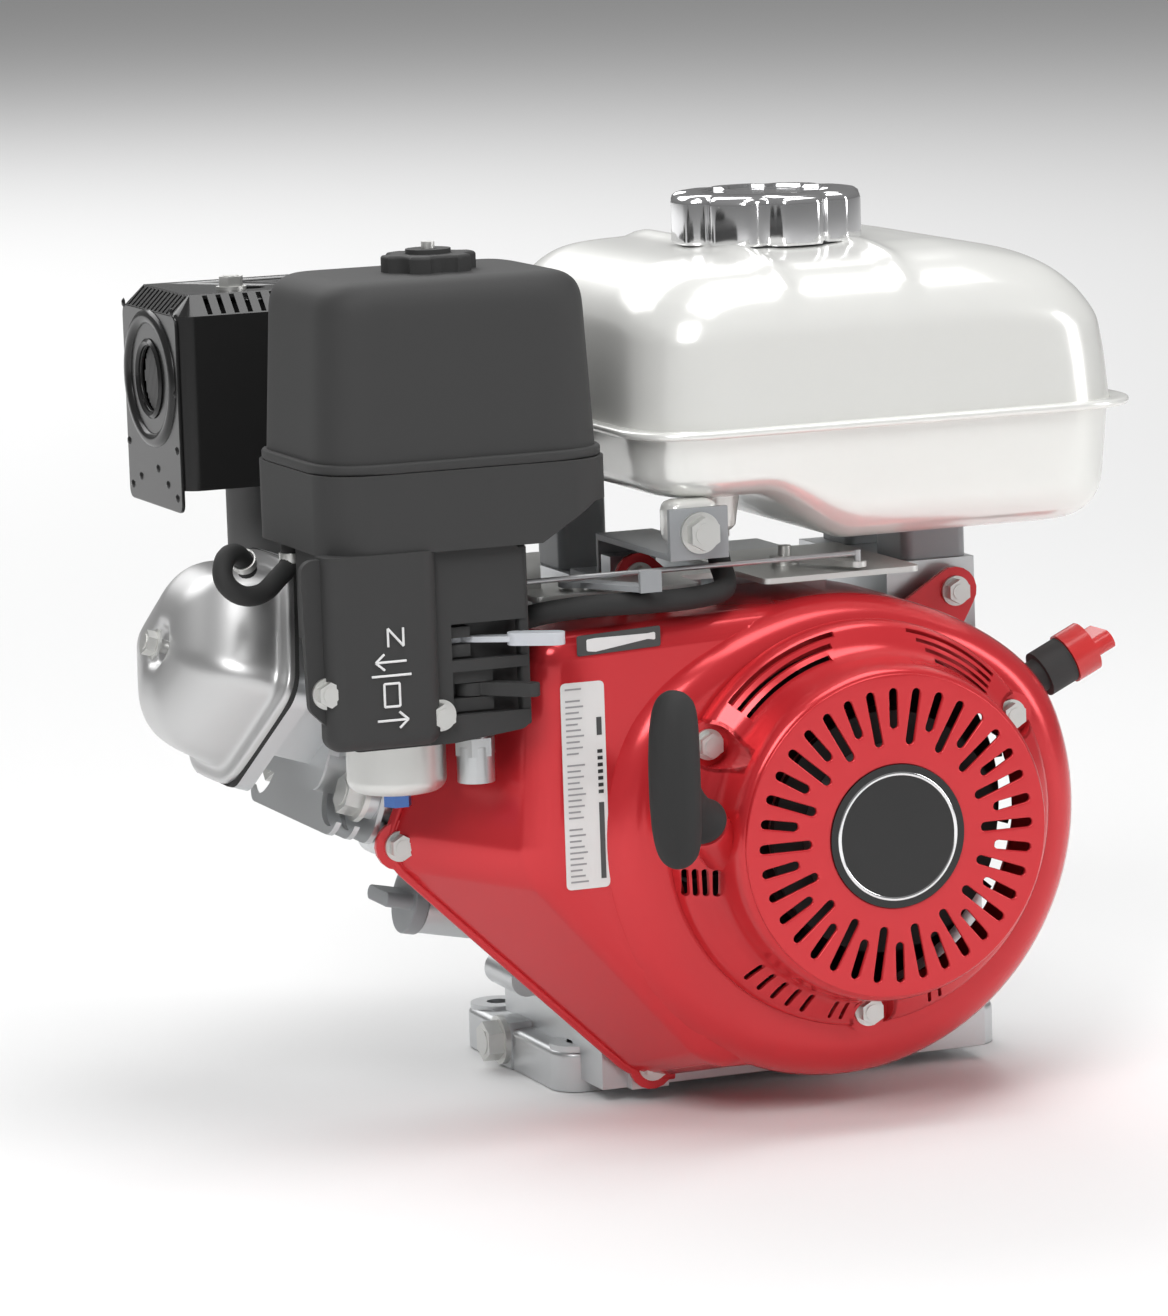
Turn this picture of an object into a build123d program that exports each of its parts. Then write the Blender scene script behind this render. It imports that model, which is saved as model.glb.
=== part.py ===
"""Small air-cooled gasoline engine with a horizontal shaft, as separate pieces.

Working axes: X to the right as seen from the starter side, Y from the starter to the
output shaft, Z up. X = 0 and Z = SHAFT_Z is the crankshaft's line, Z = 0 is the base.
save() moves every piece so that the base bolt pattern's centre is the origin.
"""
from build123d import *
import os
from math import atan2, cos, degrees, hypot, pi, radians, sin, tan

# ---------------------------------------------------------------- driving dimensions
SHAFT_Z = 133.0          # crankshaft line above the base
BOLTS_X, BOLTS_Y = 195.0, 103.0      # base bolt pattern
PATTERN_X, PATTERN_Y = 5.5, 51.5     # its centre in the working axes
BASE_HOLE_R = 5.25
BASE_T = 19.0            # base flange thickness
BASE_MARGIN = 14.0       # from a base hole to the flange's edge
CASE_HALF = 96.0         # half width of the crankcase
CASE_WALL = 8.0
CASE_FRONT, CASE_JOINT = -40.0, 72.0     # crankcase front wall and cover joint
PTO_FACE = 108.0         # mounting face round the output shaft
PTO_CIRCLE = 165.1       # its bolt circle
PTO_HOLE_R, PTO_HOLE_DEPTH = 4.2, 20.0
PILOT_R = 73.0
SHAFT_R, SHAFT_LENGTH = 12.7, 88.5       # output shaft beyond the face
JOURNAL_R = 17.5
BEARING_R, BEARING_W = 36.0, 17.0
SHAFT_FIT = 0.05         # radial clearance of everything that turns in a bearing
THROW = 29.0             # crank radius, half of the stroke
PIN_R = 16.5
WEB_R, WEB_T = 52.0, 14.0
ROD_LENGTH, ROD_W = 112.0, 22.0
BORE_R = 38.5
LINER_T = 4.0
CROWN = 28.0             # piston pin to crown
TILT = 18.0              # cylinder above the horizontal, degrees
CYL_Y = 12.0             # cylinder's centre plane
HEAD_BOTTOM, ROCKER_BOX, COVER_JOINT = 170.0, 218.0, 252.0   # along the cylinder's line
COVER_HEIGHT = 44.0
GASKET_T = 2.0
FIN_T, FIN_PITCH = 2.5, 9.0
FAN_R, FAN_FRONT, FAN_REAR = 117.0, -118.0, -46.0     # fan cover's round part
SHEET = 2.0              # wall of the red covers
RECOIL_R, RECOIL_FRONT = 91.0, -160.0
INLET_R = 76.0           # fan cover's front hole
FLYWHEEL_R, FLYWHEEL_FRONT, FLYWHEEL_REAR = 80.0, -88.0, -62.0
REEL_R, REEL_DRUM_R, REEL_W = 54.0, 45.0, 19.0
ROPE_R = 2.5
CRANK_TEETH, CAM_TEETH, MODULE = 16, 32, 2.5
CAM_ANGLE = 225.0
TANK_X = (-96.0, 149.0)
TANK_Y = (-120.0, 105.0)
TANK_SEAM, TANK_TOP, TANK_LOW, TANK_STEP = 311.0, 384.0, 257.0, 280.0
TANK_WALL = 2.0
CAP_X, CAP_Y, CAP_R = 8.0, -14.0, 44.0
CLEANER_X = (-246.0, -112.0)
CLEANER_Y = (-124.0, -15.0)
CLEANER_SEAM, CLEANER_TOP, CLEANER_LOW = 306.0, 387.0, 271.0
CLEANER_WALL = 2.5
MUFFLER_X = (-250.0, -104.0)
MUFFLER_Y = (54.0, 131.0)
MUFFLER_Z = (287.0, 367.0)
GUARD_GAP, GUARD_T = 3.0, 1.2
GUIDE = Vector(-87, -150, 145)       # where the starter rope leaves its housing
GRIP = Vector(-112, -177, 171)       # middle of the starter grip's bar
GRIP_LENGTH, GRIP_R = 76.0, 11.5
CARB_X, CARB_Z = -204.0, 205.0
CARB_FRONT, CARB_REAR = -95.0, -56.0
PLATE_Y = (-118.0, -114.0)           # black front plate of the intake
THROTTLE = (-184.0, -64.0)           # throttle shaft, X and Y
ROD_END = (-164.0, -100.0)           # governor rod's end on the throttle lever
ROD_SPAN = 175.0
GAP = 0.3                # between moving curved neighbours
SEAT = 0.05              # gap at the head joint
DRILL = 0.2              # a bolt hole's radial clearance

UP_CYL = Vector(-cos(radians(TILT)), 0, sin(radians(TILT)))      # along the cylinder
PULL = (GRIP - GUIDE).normalized()


# ---------------------------------------------------------------- helpers
def box(x0, x1, y0, y1, z0, z1):
    return Pos((x0 + x1) / 2, (y0 + y1) / 2, (z0 + z1) / 2) * Box(x1 - x0, y1 - y0, z1 - z0)


def rod(radius, start, end):
    """A round bar between two points."""
    a, b = Vector(*start), Vector(*end)
    middle = (a + b) * 0.5
    return Plane(origin=middle, z_dir=b - a) * Cylinder(radius, (b - a).length)


def tube(outer, inner, start, end):
    return rod(outer, start, end) - rod(inner, start, end)


def along_y(radius, y0, y1, x=0.0, z=SHAFT_Z):
    return rod(radius, (x, y0, z), (x, y1, z))


def ring_y(outer, inner, y0, y1, x=0.0, z=SHAFT_Z):
    return along_y(outer, y0, y1, x, z) - along_y(inner, y0, y1, x, z)


def along_z(radius, x, y, z0, z1):
    return rod(radius, (x, y, z0), (x, y, z1))


def facing_front(y):
    """Sketch plane looking at the starter side: local X is X, local Y is Z."""
    return Plane(origin=(0, y, 0), x_dir=(1, 0, 0), z_dir=(0, -1, 0))


def front_slab(sketch, y_rear, y_front):
    return extrude(facing_front(y_rear) * sketch, y_rear - y_front)


def polygon(points):
    """A face from its corners, facing along local Z whichever way round they are listed."""
    area = sum(a[0] * b[1] - b[0] * a[1] for a, b in zip(points, points[1:] + points[:1]))
    return Polygon(*(points if area > 0 else points[::-1]), align=None)


def outline(points, radius=0.0):
    face = polygon(points)
    return fillet(face.vertices(), radius) if radius else face


def cylinder_plane(s, y=CYL_Y):
    """Plane across the cylinder at s: local X towards the starter, local Y up."""
    origin = Vector(0, y, SHAFT_Z) + UP_CYL * s
    return Plane(origin=origin, x_dir=(0, -1, 0), z_dir=UP_CYL)


def cylinder_slab(sketch, s0, s1):
    return extrude(cylinder_plane(s0) * sketch, s1 - s0)


def on_cylinder(s, across=0.0, up=0.0):
    plane = cylinder_plane(s)
    return plane.origin + plane.x_dir * across + plane.y_dir * up


def flat_slab(sketch, z0, z1):
    return extrude(Plane(origin=(0, 0, z0)) * sketch, z1 - z0)


def rounded(x_range, y_range, z_range, corner, top=0.0, bottom=0.0, grow=0.0):
    """A block with round upright corners and, if asked, round top and bottom edges."""
    (x0, x1), (y0, y1), (z0, z1) = x_range, y_range, z_range
    face = Pos((x0 + x1) / 2, (y0 + y1) / 2) * RectangleRounded(
        x1 - x0 + 2 * grow, y1 - y0 + 2 * grow, max(corner + grow, 0.5))
    block = flat_slab(face, z0, z1)
    if top:
        block = fillet(block.faces().sort_by(Axis.Z)[-1].edges(), top)
    if bottom:
        block = fillet(block.faces().sort_by(Axis.Z)[0].edges(), bottom)
    return block


def hexagon(across_flats, height, at, axis):
    face = RegularPolygon(across_flats / 2, 6, major_radius=False)
    return extrude(Plane(origin=at, z_dir=axis) * face, height)


# ---------------------------------------------------------------- fasteners
class Bolt:
    """A hex flange bolt: at is under the flange, axis points out of the head."""

    def __init__(self, at, axis, size=6.0, length=12.0, head=1.0):
        self.at, self.axis = Vector(*at), Vector(*axis).normalized()
        self.size, self.length, self.head = size, length, head

    def solid(self):
        radius, flange = self.size / 2, self.size * 0.25
        end = self.at - self.axis * self.length
        body = rod(radius, end, self.at + self.axis * 0.1)
        body += rod(self.size * 1.15, self.at, self.at + self.axis * flange)
        tall = self.size * 0.75 * self.head
        nut = hexagon(self.size * 1.65, tall, self.at + self.axis * flange, self.axis)
        crown = rod(self.size * 0.6, self.at + self.axis * (flange + tall),
                    self.at + self.axis * (flange + tall + 0.4))
        return body + nut + crown

    def hole(self):
        end = self.at - self.axis * (self.length + 1.0)
        return rod(self.size / 2 + DRILL, end, self.at + self.axis * 0.5)


def drilled(piece, bolts):
    """The piece with a clearance hole for each bolt that reaches it."""
    bounds = piece.bounding_box()
    for bolt in bolts:
        hole = bolt.hole()
        reach = hole.bounding_box()
        apart = any(a > b for a, b in (
            (reach.min.X, bounds.max.X), (bounds.min.X, reach.max.X),
            (reach.min.Y, bounds.max.Y), (bounds.min.Y, reach.max.Y),
            (reach.min.Z, bounds.max.Z), (bounds.min.Z, reach.max.Z)))
        if not apart:
            piece = piece - hole
    return piece


def around(count, radius, start=0.0, x=0.0, z=SHAFT_Z):
    """Points on a circle in the X-Z plane."""
    angles = [radians(start + 360 * i / count) for i in range(count)]
    return [(x + radius * cos(a), z + radius * sin(a)) for a in angles]


EARS = [(-193.0, 130.0), (82.0, 222.0), (-74.0, 241.0), (-75.0, 17.0)]
EAR_Y = FAN_REAR - 3.0
FAN_BOLTS = [Bolt((x, EAR_Y, z), (0, -1, 0), 6, 14) for x, z in EARS]
RECOIL_POINTS = around(3, 85, 30)
RECOIL_BOLTS = [Bolt((x, FAN_FRONT - 5, z), (0, -1, 0), 6, 12) for x, z in RECOIL_POINTS]
JOINT_POINTS = [(x, z) for x, z in around(8, CASE_HALF + 2, 0) if z > SHAFT_Z + 10]
JOINT_POINTS += [(side * (CASE_HALF + 2), z) for side in (-1, 1) for z in (42.0, 112.0)]
COVER_BOLTS = [Bolt((x, CASE_JOINT + 10, z), (0, 1, 0), 6, 26) for x, z in JOINT_POINTS]
HEAD_BOLTS = [Bolt(on_cylinder(ROCKER_BOX - 18, a, b), UP_CYL, 10, 60)
              for a in (-52, 46) for b in (-46, 46)]
HEAD_COVER_BOLT = Bolt(on_cylinder(COVER_JOINT + COVER_HEIGHT, 0, -4), UP_CYL, 6, 40)
SMALL_BOLTS = [Bolt((-70, -112, 268), (0, -1, 0), 8, 18)]
DRAIN_BOLTS = [Bolt((-CASE_HALF - 11, 58, 12.5), (-1, 0, 0), 10, 14)]


# ---------------------------------------------------------------- crankcase and its cover
def base_edges():
    x0, x1 = PATTERN_X - BOLTS_X / 2 - BASE_MARGIN, PATTERN_X + BOLTS_X / 2 + BASE_MARGIN
    y0, y1 = PATTERN_Y - BOLTS_Y / 2 - BASE_MARGIN, PATTERN_Y + BOLTS_Y / 2 + BASE_MARGIN
    return x0, x1, y0, y1


def base_holes():
    for i in (-1, 1):
        for j in (-1, 1):
            yield PATTERN_X + i * BOLTS_X / 2, PATTERN_Y + j * BOLTS_Y / 2


def crankcase():
    x0, x1, y0, y1 = base_edges()
    case = box(-CASE_HALF, CASE_HALF, CASE_FRONT, CASE_JOINT, 6, SHAFT_Z)
    case += along_y(CASE_HALF, CASE_FRONT, CASE_JOINT)
    flange = rounded((x0, x1), (y0, y1), (0, BASE_T), 14, top=3)
    case += flange
    for x, y in base_holes():
        case += along_z(13, x, y, 0, BASE_T + 2)
    case += box(-84, -40, CASE_FRONT, 60, 150, 236)      # pads that carry the tank
    case += box(52, CASE_HALF, CASE_FRONT, 60, 150, 236)
    case += box(-30, 22, CASE_FRONT, 40, 200, 241)       # pad for the control plate
    case += box(-84, -64, CASE_FRONT, -29, 230, 250)
    case += cylinder_slab(Circle(BORE_R + LINER_T + 8), 60, HEAD_BOTTOM - SEAT)
    fins = Pos(-3, -3) * RectangleRounded(118, 126, 12)
    for i in range(8):
        s = 102 + i * FIN_PITCH
        case += cylinder_slab(fins, s, s + FIN_T)
    case += cylinder_slab(Pos(-3, -3) * RectangleRounded(118, 122, 12), HEAD_BOTTOM - 6, HEAD_BOTTOM - SEAT)
    for across in (-52, 46):
        for up in (-46, 46):
            case += cylinder_slab(Pos(across, up) * Circle(9), 96, HEAD_BOTTOM - SEAT)
    for x, z in EARS[1:]:
        case += along_y(8, FAN_REAR, CASE_FRONT + 11, x, z)
    case += box(-84, -66, FAN_REAR, CASE_FRONT + 4, 6, 28)
    neck = Vector(-CASE_HALF + 2, 20, 77)
    case += rod(15, neck, FILLER_TOP)
    case -= rod(FILLER_R, neck - FILLER_AXIS * 12, FILLER_TOP + FILLER_AXIS)
    hollow = CASE_HALF - CASE_WALL
    case -= along_y(hollow, CASE_FRONT + 12, CASE_JOINT)
    case -= box(-hollow, hollow, CASE_FRONT + 12, CASE_JOINT, 28, SHAFT_Z)
    case += along_y(BEARING_R + 9, CASE_FRONT, CASE_FRONT + 20)
    case -= along_y(BEARING_R + SHAFT_FIT, CASE_FRONT + 3, CASE_FRONT + 20)
    case -= along_y(JOURNAL_R + 2, CASE_FRONT - 1, CASE_FRONT + 4)
    case -= cylinder_slab(Circle(BORE_R + LINER_T + SHAFT_FIT), 50, HEAD_BOTTOM - SEAT)
    for x, y in base_holes():
        case -= along_z(BASE_HOLE_R, x, y, -1, BASE_T + 3)
    case += along_y(14, CASE_FRONT + 6, CASE_FRONT + 24, CAM_X, CAM_Z)
    case -= along_y(8 + SHAFT_FIT, CASE_FRONT + 12, CASE_FRONT + 25, CAM_X, CAM_Z)
    for x, z in JOINT_POINTS:
        case += along_y(8, CASE_JOINT - 26, CASE_JOINT, x, z)
    case += box(-CASE_HALF - 11, -CASE_HALF + 6, 48, 68, 0, 22)
    return drilled(case, FAN_BOLTS + COVER_BOLTS + HEAD_BOLTS + DRAIN_BOLTS)


FILLER_AXIS = Vector(-cos(radians(12)), 0, sin(radians(12)))
FILLER_R = 11.0
FILLER_TOP = Vector(-160, 20, 90.6)
CAM_DISTANCE = MODULE * (CRANK_TEETH + CAM_TEETH) / 2
CAM_X = CAM_DISTANCE * cos(radians(CAM_ANGLE))
CAM_Z = SHAFT_Z + CAM_DISTANCE * sin(radians(CAM_ANGLE))


def crankcase_cover():
    y0 = CASE_JOINT
    cover = along_y(CASE_HALF + 2, y0, y0 + 10)
    cover += box(-CASE_HALF, CASE_HALF, y0, y0 + 10, BASE_T + 2, SHAFT_Z)
    for x, z in JOINT_POINTS:
        cover += along_y(8, y0, y0 + 10, x, z)
    dome = along_y(PTO_CIRCLE / 2 + 7, y0 + 8, PTO_FACE)
    cover += fillet(dome.faces().sort_by(Axis.Y)[-1].edges(), 2)
    cover += ring_y(PILOT_R, PILOT_R - 6, PTO_FACE - 1, PTO_FACE + 3)
    cover -= along_y(PILOT_R - 6, PTO_FACE - 10, PTO_FACE + 4)
    cover -= along_y(CASE_HALF - 20, y0 - 1, y0 + 18)
    cover += along_y(BEARING_R + 9, y0 + 2, PTO_FACE - 4)
    cover -= along_y(BEARING_R + SHAFT_FIT, y0 + 1, y0 + 2 + BEARING_W)
    cover -= along_y(26 + SHAFT_FIT, y0 + 22, PTO_FACE)
    cover -= along_y(JOURNAL_R + 3, y0, PTO_FACE)
    cover += along_y(14, y0 + 4, y0 + 19, CAM_X, CAM_Z)
    cover -= along_y(8 + SHAFT_FIT, y0 + 3, y0 + 14, CAM_X, CAM_Z)
    cover -= box(*box_range(CAM_X, 30), y0 - 1, y0 + 3, *box_range(CAM_Z, 30))
    for x, z in around(4, PTO_CIRCLE / 2, 45):
        cover -= along_y(PTO_HOLE_R, PTO_FACE - PTO_HOLE_DEPTH, PTO_FACE + 1, x, z)
    cover -= box(-CASE_HALF - 5, CASE_HALF + 5, y0 - 1, PTO_FACE + 5, 0, BASE_T + 2)
    return drilled(cover, COVER_BOLTS)


def box_range(middle, half):
    return middle - half, middle + half


def bearings_and_seal():
    front = ring_y(BEARING_R, JOURNAL_R + SHAFT_FIT, CASE_FRONT + 3, CASE_FRONT + 3 + BEARING_W)
    rear = ring_y(BEARING_R, JOURNAL_R + SHAFT_FIT, CASE_JOINT + 2, CASE_JOINT + 2 + BEARING_W)
    seal = ring_y(26, JOURNAL_R + SHAFT_FIT, CASE_JOINT + 23, CASE_JOINT + 31)
    return [front, rear, seal]


# ---------------------------------------------------------------- crank train
WEB_FRONT = CYL_Y - ROD_W / 2 - 1 - WEB_T
WEB_REAR = CYL_Y + ROD_W / 2 + 1 + WEB_T


def crankshaft():
    front = along_y(WEB_R, WEB_FRONT, WEB_FRONT + WEB_T)
    front += along_y(JOURNAL_R, FLYWHEEL_REAR, WEB_FRONT)
    front += along_y(12, FLYWHEEL_FRONT - 17, FLYWHEEL_REAR)
    rear = along_y(WEB_R, WEB_REAR - WEB_T, WEB_REAR)
    rear += along_y(JOURNAL_R, WEB_REAR, PTO_FACE + SHOULDER)
    end = PTO_FACE + SHAFT_LENGTH
    rear += along_y(SHAFT_R - 0.4, PTO_FACE, PTO_FACE + SHOULDER + RELIEF)
    stub = along_y(SHAFT_R, PTO_FACE + SHOULDER + RELIEF, end)
    rear += chamfer(stub.faces().sort_by(Axis.Y)[-1].edges(), 1.2)
    rear -= box(-KEY / 2 - 0.05, KEY / 2 + 0.05, end - KEY_LENGTH - 6, end + 1,
                SHAFT_Z + SHAFT_R - KEY / 2, SHAFT_Z + SHAFT_R + 5)
    rear -= along_y(4.0, end - 27, end + 1)
    rear += gear(CRANK_TEETH, GEAR_Y[0], GEAR_Y[1], 0, SHAFT_Z, CAM_ANGLE)
    return [front, rear]


KEY, KEY_LENGTH = 6.35, 45.0         # keyway; the key itself comes with the driven hub
SHOULDER, RELIEF = 4.0, 2.0          # journal's end beyond the face, grinding groove after it
GEAR_Y = (42.0, 54.0)


def gear(teeth, y0, y1, x, z, turn):
    """A spur gear with straight-flanked teeth, thinned a little so that it meshes freely."""
    pitch = MODULE * teeth / 2
    root, tip = pitch - 1.25 * MODULE, pitch + 0.9 * MODULE
    half = 0.25 * pi * MODULE - 0.12
    points = []
    for i in range(teeth):
        middle = radians(turn + 360 * i / teeth)
        for radius, width in ((root, -1.45 * half), (tip, -0.5 * half), (tip, 0.5 * half),
                              (root, 1.45 * half)):
            angle = middle + width / radius
            points.append((x + radius * cos(angle), z + radius * sin(angle)))
    return front_slab(polygon(points), y1, y0)


def camshaft():
    half_pitch = 180 / CAM_TEETH
    shaft = gear(CAM_TEETH, GEAR_Y[0], GEAR_Y[1], CAM_X, CAM_Z, CAM_ANGLE + 180 + half_pitch)
    shaft += along_y(8, CASE_FRONT + 13, CASE_JOINT + 13, CAM_X, CAM_Z)
    for y, angle in ((56, 100), (63, 210)):
        x, z = CAM_X + 5 * cos(radians(angle)), CAM_Z + 5 * sin(radians(angle))
        shaft += along_y(12, y, y + 6, CAM_X, CAM_Z) + along_y(9, y, y + 6, x, z)
    return [shaft]


def crank_point(distance):
    return Vector(0, 0, SHAFT_Z) + UP_CYL * distance


def crank_and_wrist_pins():
    big, small = crank_point(THROW), crank_point(THROW + ROD_LENGTH)
    y0, y1 = WEB_FRONT + WEB_T + GAP, WEB_REAR - WEB_T - GAP
    return [along_y(PIN_R, y0, y1, big.X, big.Z),
            along_y(PISTON_PIN_R, CYL_Y - 33, CYL_Y + 33, small.X, small.Z)]


def connecting_rod():
    big, small = crank_point(THROW), crank_point(THROW + ROD_LENGTH)
    y0, y1 = CYL_Y - ROD_W / 2, CYL_Y + ROD_W / 2
    piece = along_y(25, y0, y1, big.X, big.Z)
    beam = cylinder_slab(Rectangle(12, 18), THROW + 10, THROW + ROD_LENGTH)
    piece += beam
    piece += along_y(14, y0 + 1, y1 - 1, small.X, small.Z)
    piece -= along_y(PIN_R + SHAFT_FIT, y0 - 1, y1 + 1, big.X, big.Z)
    piece -= along_y(PISTON_PIN_R + SHAFT_FIT, y0 - 1, y1 + 1, small.X, small.Z)
    return [piece]


PISTON_PIN_R = 9.0
PISTON_TOP = THROW + ROD_LENGTH + CROWN
RING_DROPS = (6.0, 11.0, 16.0)


def piston():
    radius = BORE_R - 0.08
    piece = cylinder_slab(Circle(radius), PISTON_TOP - 52, PISTON_TOP)
    piece -= cylinder_slab(Circle(radius - 6), PISTON_TOP - 53, PISTON_TOP - 21)
    bosses = cylinder_slab(Rectangle(2 * radius - 8, 26), PISTON_TOP - 40, PISTON_TOP - 15)
    bosses &= cylinder_slab(Circle(radius - 1), PISTON_TOP - 52, PISTON_TOP)
    bosses -= cylinder_slab(Rectangle(ROD_W + 6, 80), PISTON_TOP - 60, PISTON_TOP - 12)
    piece += bosses
    at = crank_point(THROW + ROD_LENGTH)
    piece -= along_y(PISTON_PIN_R + SHAFT_FIT, CYL_Y - 40, CYL_Y + 40, at.X, at.Z)
    for drop in RING_DROPS:
        groove = Circle(radius + 1) - Circle(radius - 3.1)
        piece -= cylinder_slab(groove, PISTON_TOP - drop - 2.05, PISTON_TOP - drop)
    piece -= cylinder_slab(Rectangle(ROD_W + 6, 34), PISTON_TOP - 60, PISTON_TOP - 12)
    return [piece]


def piston_rings():
    face = Circle(BORE_R - 0.03) - Circle(BORE_R - 3.1)
    return [cylinder_slab(face, PISTON_TOP - d - 2.0, PISTON_TOP - d - 0.05) for d in RING_DROPS]


# ---------------------------------------------------------------- cylinder and head
def cylinder_liner():
    face = Circle(BORE_R + LINER_T) - Circle(BORE_R)
    return [cylinder_slab(face, CASE_HALF - 8, HEAD_BOTTOM - SEAT)]


COVER_OUTLINE = [(75, -6), (26, -57), (-26, -57), (-75, -6), (-30, 48), (30, 48)]


def head_face(inset=0.0, corner=12.0):
    face = polygon(COVER_OUTLINE)
    face = offset(face, -inset, kind=Kind.INTERSECTION) if inset else face
    return fillet(face.vertices(), max(corner - inset, 3))


def cylinder_head():
    s0 = HEAD_BOTTOM
    head = cylinder_slab(Pos(-3, -3) * RectangleRounded(118, 122, 12), s0, s0 + 8)
    head += cylinder_slab(Pos(-3, -3) * RectangleRounded(84, 92, 10), s0, ROCKER_BOX)
    for i in range(4):
        s = s0 + 13 + i * FIN_PITCH
        head += cylinder_slab(Pos(-3, -3) * RectangleRounded(118, 126, 10), s, s + FIN_T)
    head += cylinder_slab(head_face(18), ROCKER_BOX - 1, COVER_JOINT)
    head += cylinder_slab(head_face(), COVER_JOINT - 7, COVER_JOINT)
    head -= cylinder_slab(head_face(22), ROCKER_BOX + 7, COVER_JOINT + 1)
    port_z = CARB_Z
    head += along_y(20, CARB_REAR + 12, CYL_Y - 32, CARB_X, port_z)
    head -= along_y(13, CARB_REAR + 11, CYL_Y - 36, CARB_X, port_z)
    head += along_y(19, CYL_Y + 32, CYL_Y + 65, CARB_X, port_z)
    head -= along_y(14, CYL_Y + 36, CYL_Y + 66, CARB_X, port_z)
    head -= cylinder_slab(Pos(0, 0) * Circle(BORE_R), s0 - 1, s0 + 7)
    for x in (-14, 14):
        head -= cylinder_slab(Pos(x, 4) * Circle(12.5), s0 + 6, s0 + 10)
        head -= cylinder_slab(Pos(x, 4) * Circle(3.1), s0, COVER_JOINT)
    seat, end = spark_plug_line()
    axis = (end - seat).normalized()
    head += rod(11.5, seat, end)
    head -= rod(7.0, seat - axis * 16, end + axis)
    for across in (-52, 46):
        for up in (-46, 46):
            head += cylinder_slab(Pos(across, up) * Circle(9), s0, ROCKER_BOX - 18)
            head -= cylinder_slab(Pos(across, up) * Circle(16), ROCKER_BOX - 18, ROCKER_BOX - 1)
    head += cylinder_slab(Pos(0, -4) * Circle(4.5), ROCKER_BOX, COVER_JOINT - 1)
    head += along_y(8, FAN_REAR, FAN_REAR + 30, *EARS[0])
    return [drilled(head, HEAD_BOLTS + FAN_BOLTS + [HEAD_COVER_BOLT])]


def spark_plug_line():
    """Seat and outer end of the plug's boss, on the head's rear side."""
    return on_cylinder(HEAD_BOTTOM + 13, -36, -20), on_cylinder(HEAD_BOTTOM + 13, -68, -26)


def spark_plug():
    seat, end = spark_plug_line()
    axis = (end - seat).normalized()
    plug = rod(6.9, seat - axis * 15, end)
    plug += hexagon(20.6, 9, end, axis)
    plug += rod(7.5, end + axis * 9, end + axis * 14)
    plug += rod(5.5, end + axis * 14, end + axis * 34)
    plug += rod(3.0, end + axis * 34, end + axis * 42)
    return [plug]


def valves_and_springs():
    pieces = []
    for x in (-14, 14):
        stem = cylinder_slab(Pos(x, 4) * Circle(3.0), HEAD_BOTTOM + 7.3, COVER_JOINT - 4)
        stem += cylinder_slab(Pos(x, 4) * Circle(12.2), HEAD_BOTTOM + 7.2, HEAD_BOTTOM + 9.8)
        pieces.append(stem)
        coil = Pos(x, 4) * (Circle(9) - Circle(3.4))
        pieces.append(cylinder_slab(coil, ROCKER_BOX + 7, COVER_JOINT - 10))
    return pieces


def head_cover_gasket():
    face = head_face() - head_face(9)
    return [cylinder_slab(face, COVER_JOINT, COVER_JOINT + GASKET_T)]


def head_cover():
    s0 = COVER_JOINT + GASKET_T
    flange = cylinder_slab(head_face(), s0, s0 + 3)
    dome = extrude(cylinder_plane(s0) * head_face(8, 32), COVER_HEIGHT - GASKET_T, taper=18)
    inner = extrude(cylinder_plane(s0 - 1) * head_face(10.5, 32), COVER_HEIGHT - GASKET_T - 1.2, taper=18)
    dome = fillet(dome.faces().sort_by(Axis(dome.center(), UP_CYL))[-1].edges(), 6)
    cover = flange + dome - inner
    spout = Vector(*BREATHER[0])
    cover += rod(3.5, spout - (Vector(*BREATHER[1]) - spout) * 2.2, spout) - inner
    return [drilled(cover, [HEAD_COVER_BOLT])]


# ---------------------------------------------------------------- flywheel side
def flywheel():
    wheel = along_y(FLYWHEEL_R, FLYWHEEL_FRONT, FLYWHEEL_REAR)
    wheel -= ring_y(FLYWHEEL_R - 16, 30, FLYWHEEL_REAR - 16, FLYWHEEL_REAR + 1)
    wheel -= along_y(12 + 0.02, FLYWHEEL_FRONT - 1, FLYWHEEL_REAR + 1)
    return [wheel]


def cooling_fan():
    y1 = FLYWHEEL_FRONT
    fan = ring_y(FLYWHEEL_R + 2, 42, y1 - 3, y1)
    blade = box(50, FLYWHEEL_R + 1, y1 - 18, y1 - 3, SHAFT_Z - 1, SHAFT_Z + 1)
    axis = Axis((0, 0, SHAFT_Z), (0, 1, 0))
    for i in range(16):
        fan += blade.rotate(Axis((50, 0, SHAFT_Z), (0, 1, 0)), 18).rotate(axis, i * 22.5)
    return [fan]


def starter_cup():
    y1 = FLYWHEEL_FRONT
    cup = along_y(40, y1 - 31, y1) - along_y(38, y1 - 32, y1 - 3) - along_y(12.05, y1 - 4, y1 + 1)
    for x, z in around(6, 25):
        cup -= along_y(4, y1 - 4, y1 + 1, x, z)
    nut = hexagon(28, 12, Vector(0, y1 - 3, SHAFT_Z), (0, -1, 0))
    nut += along_y(17, y1 - 5, y1 - 3)
    return [cup, nut - along_y(12.02, y1 - 16, y1)]


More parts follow.
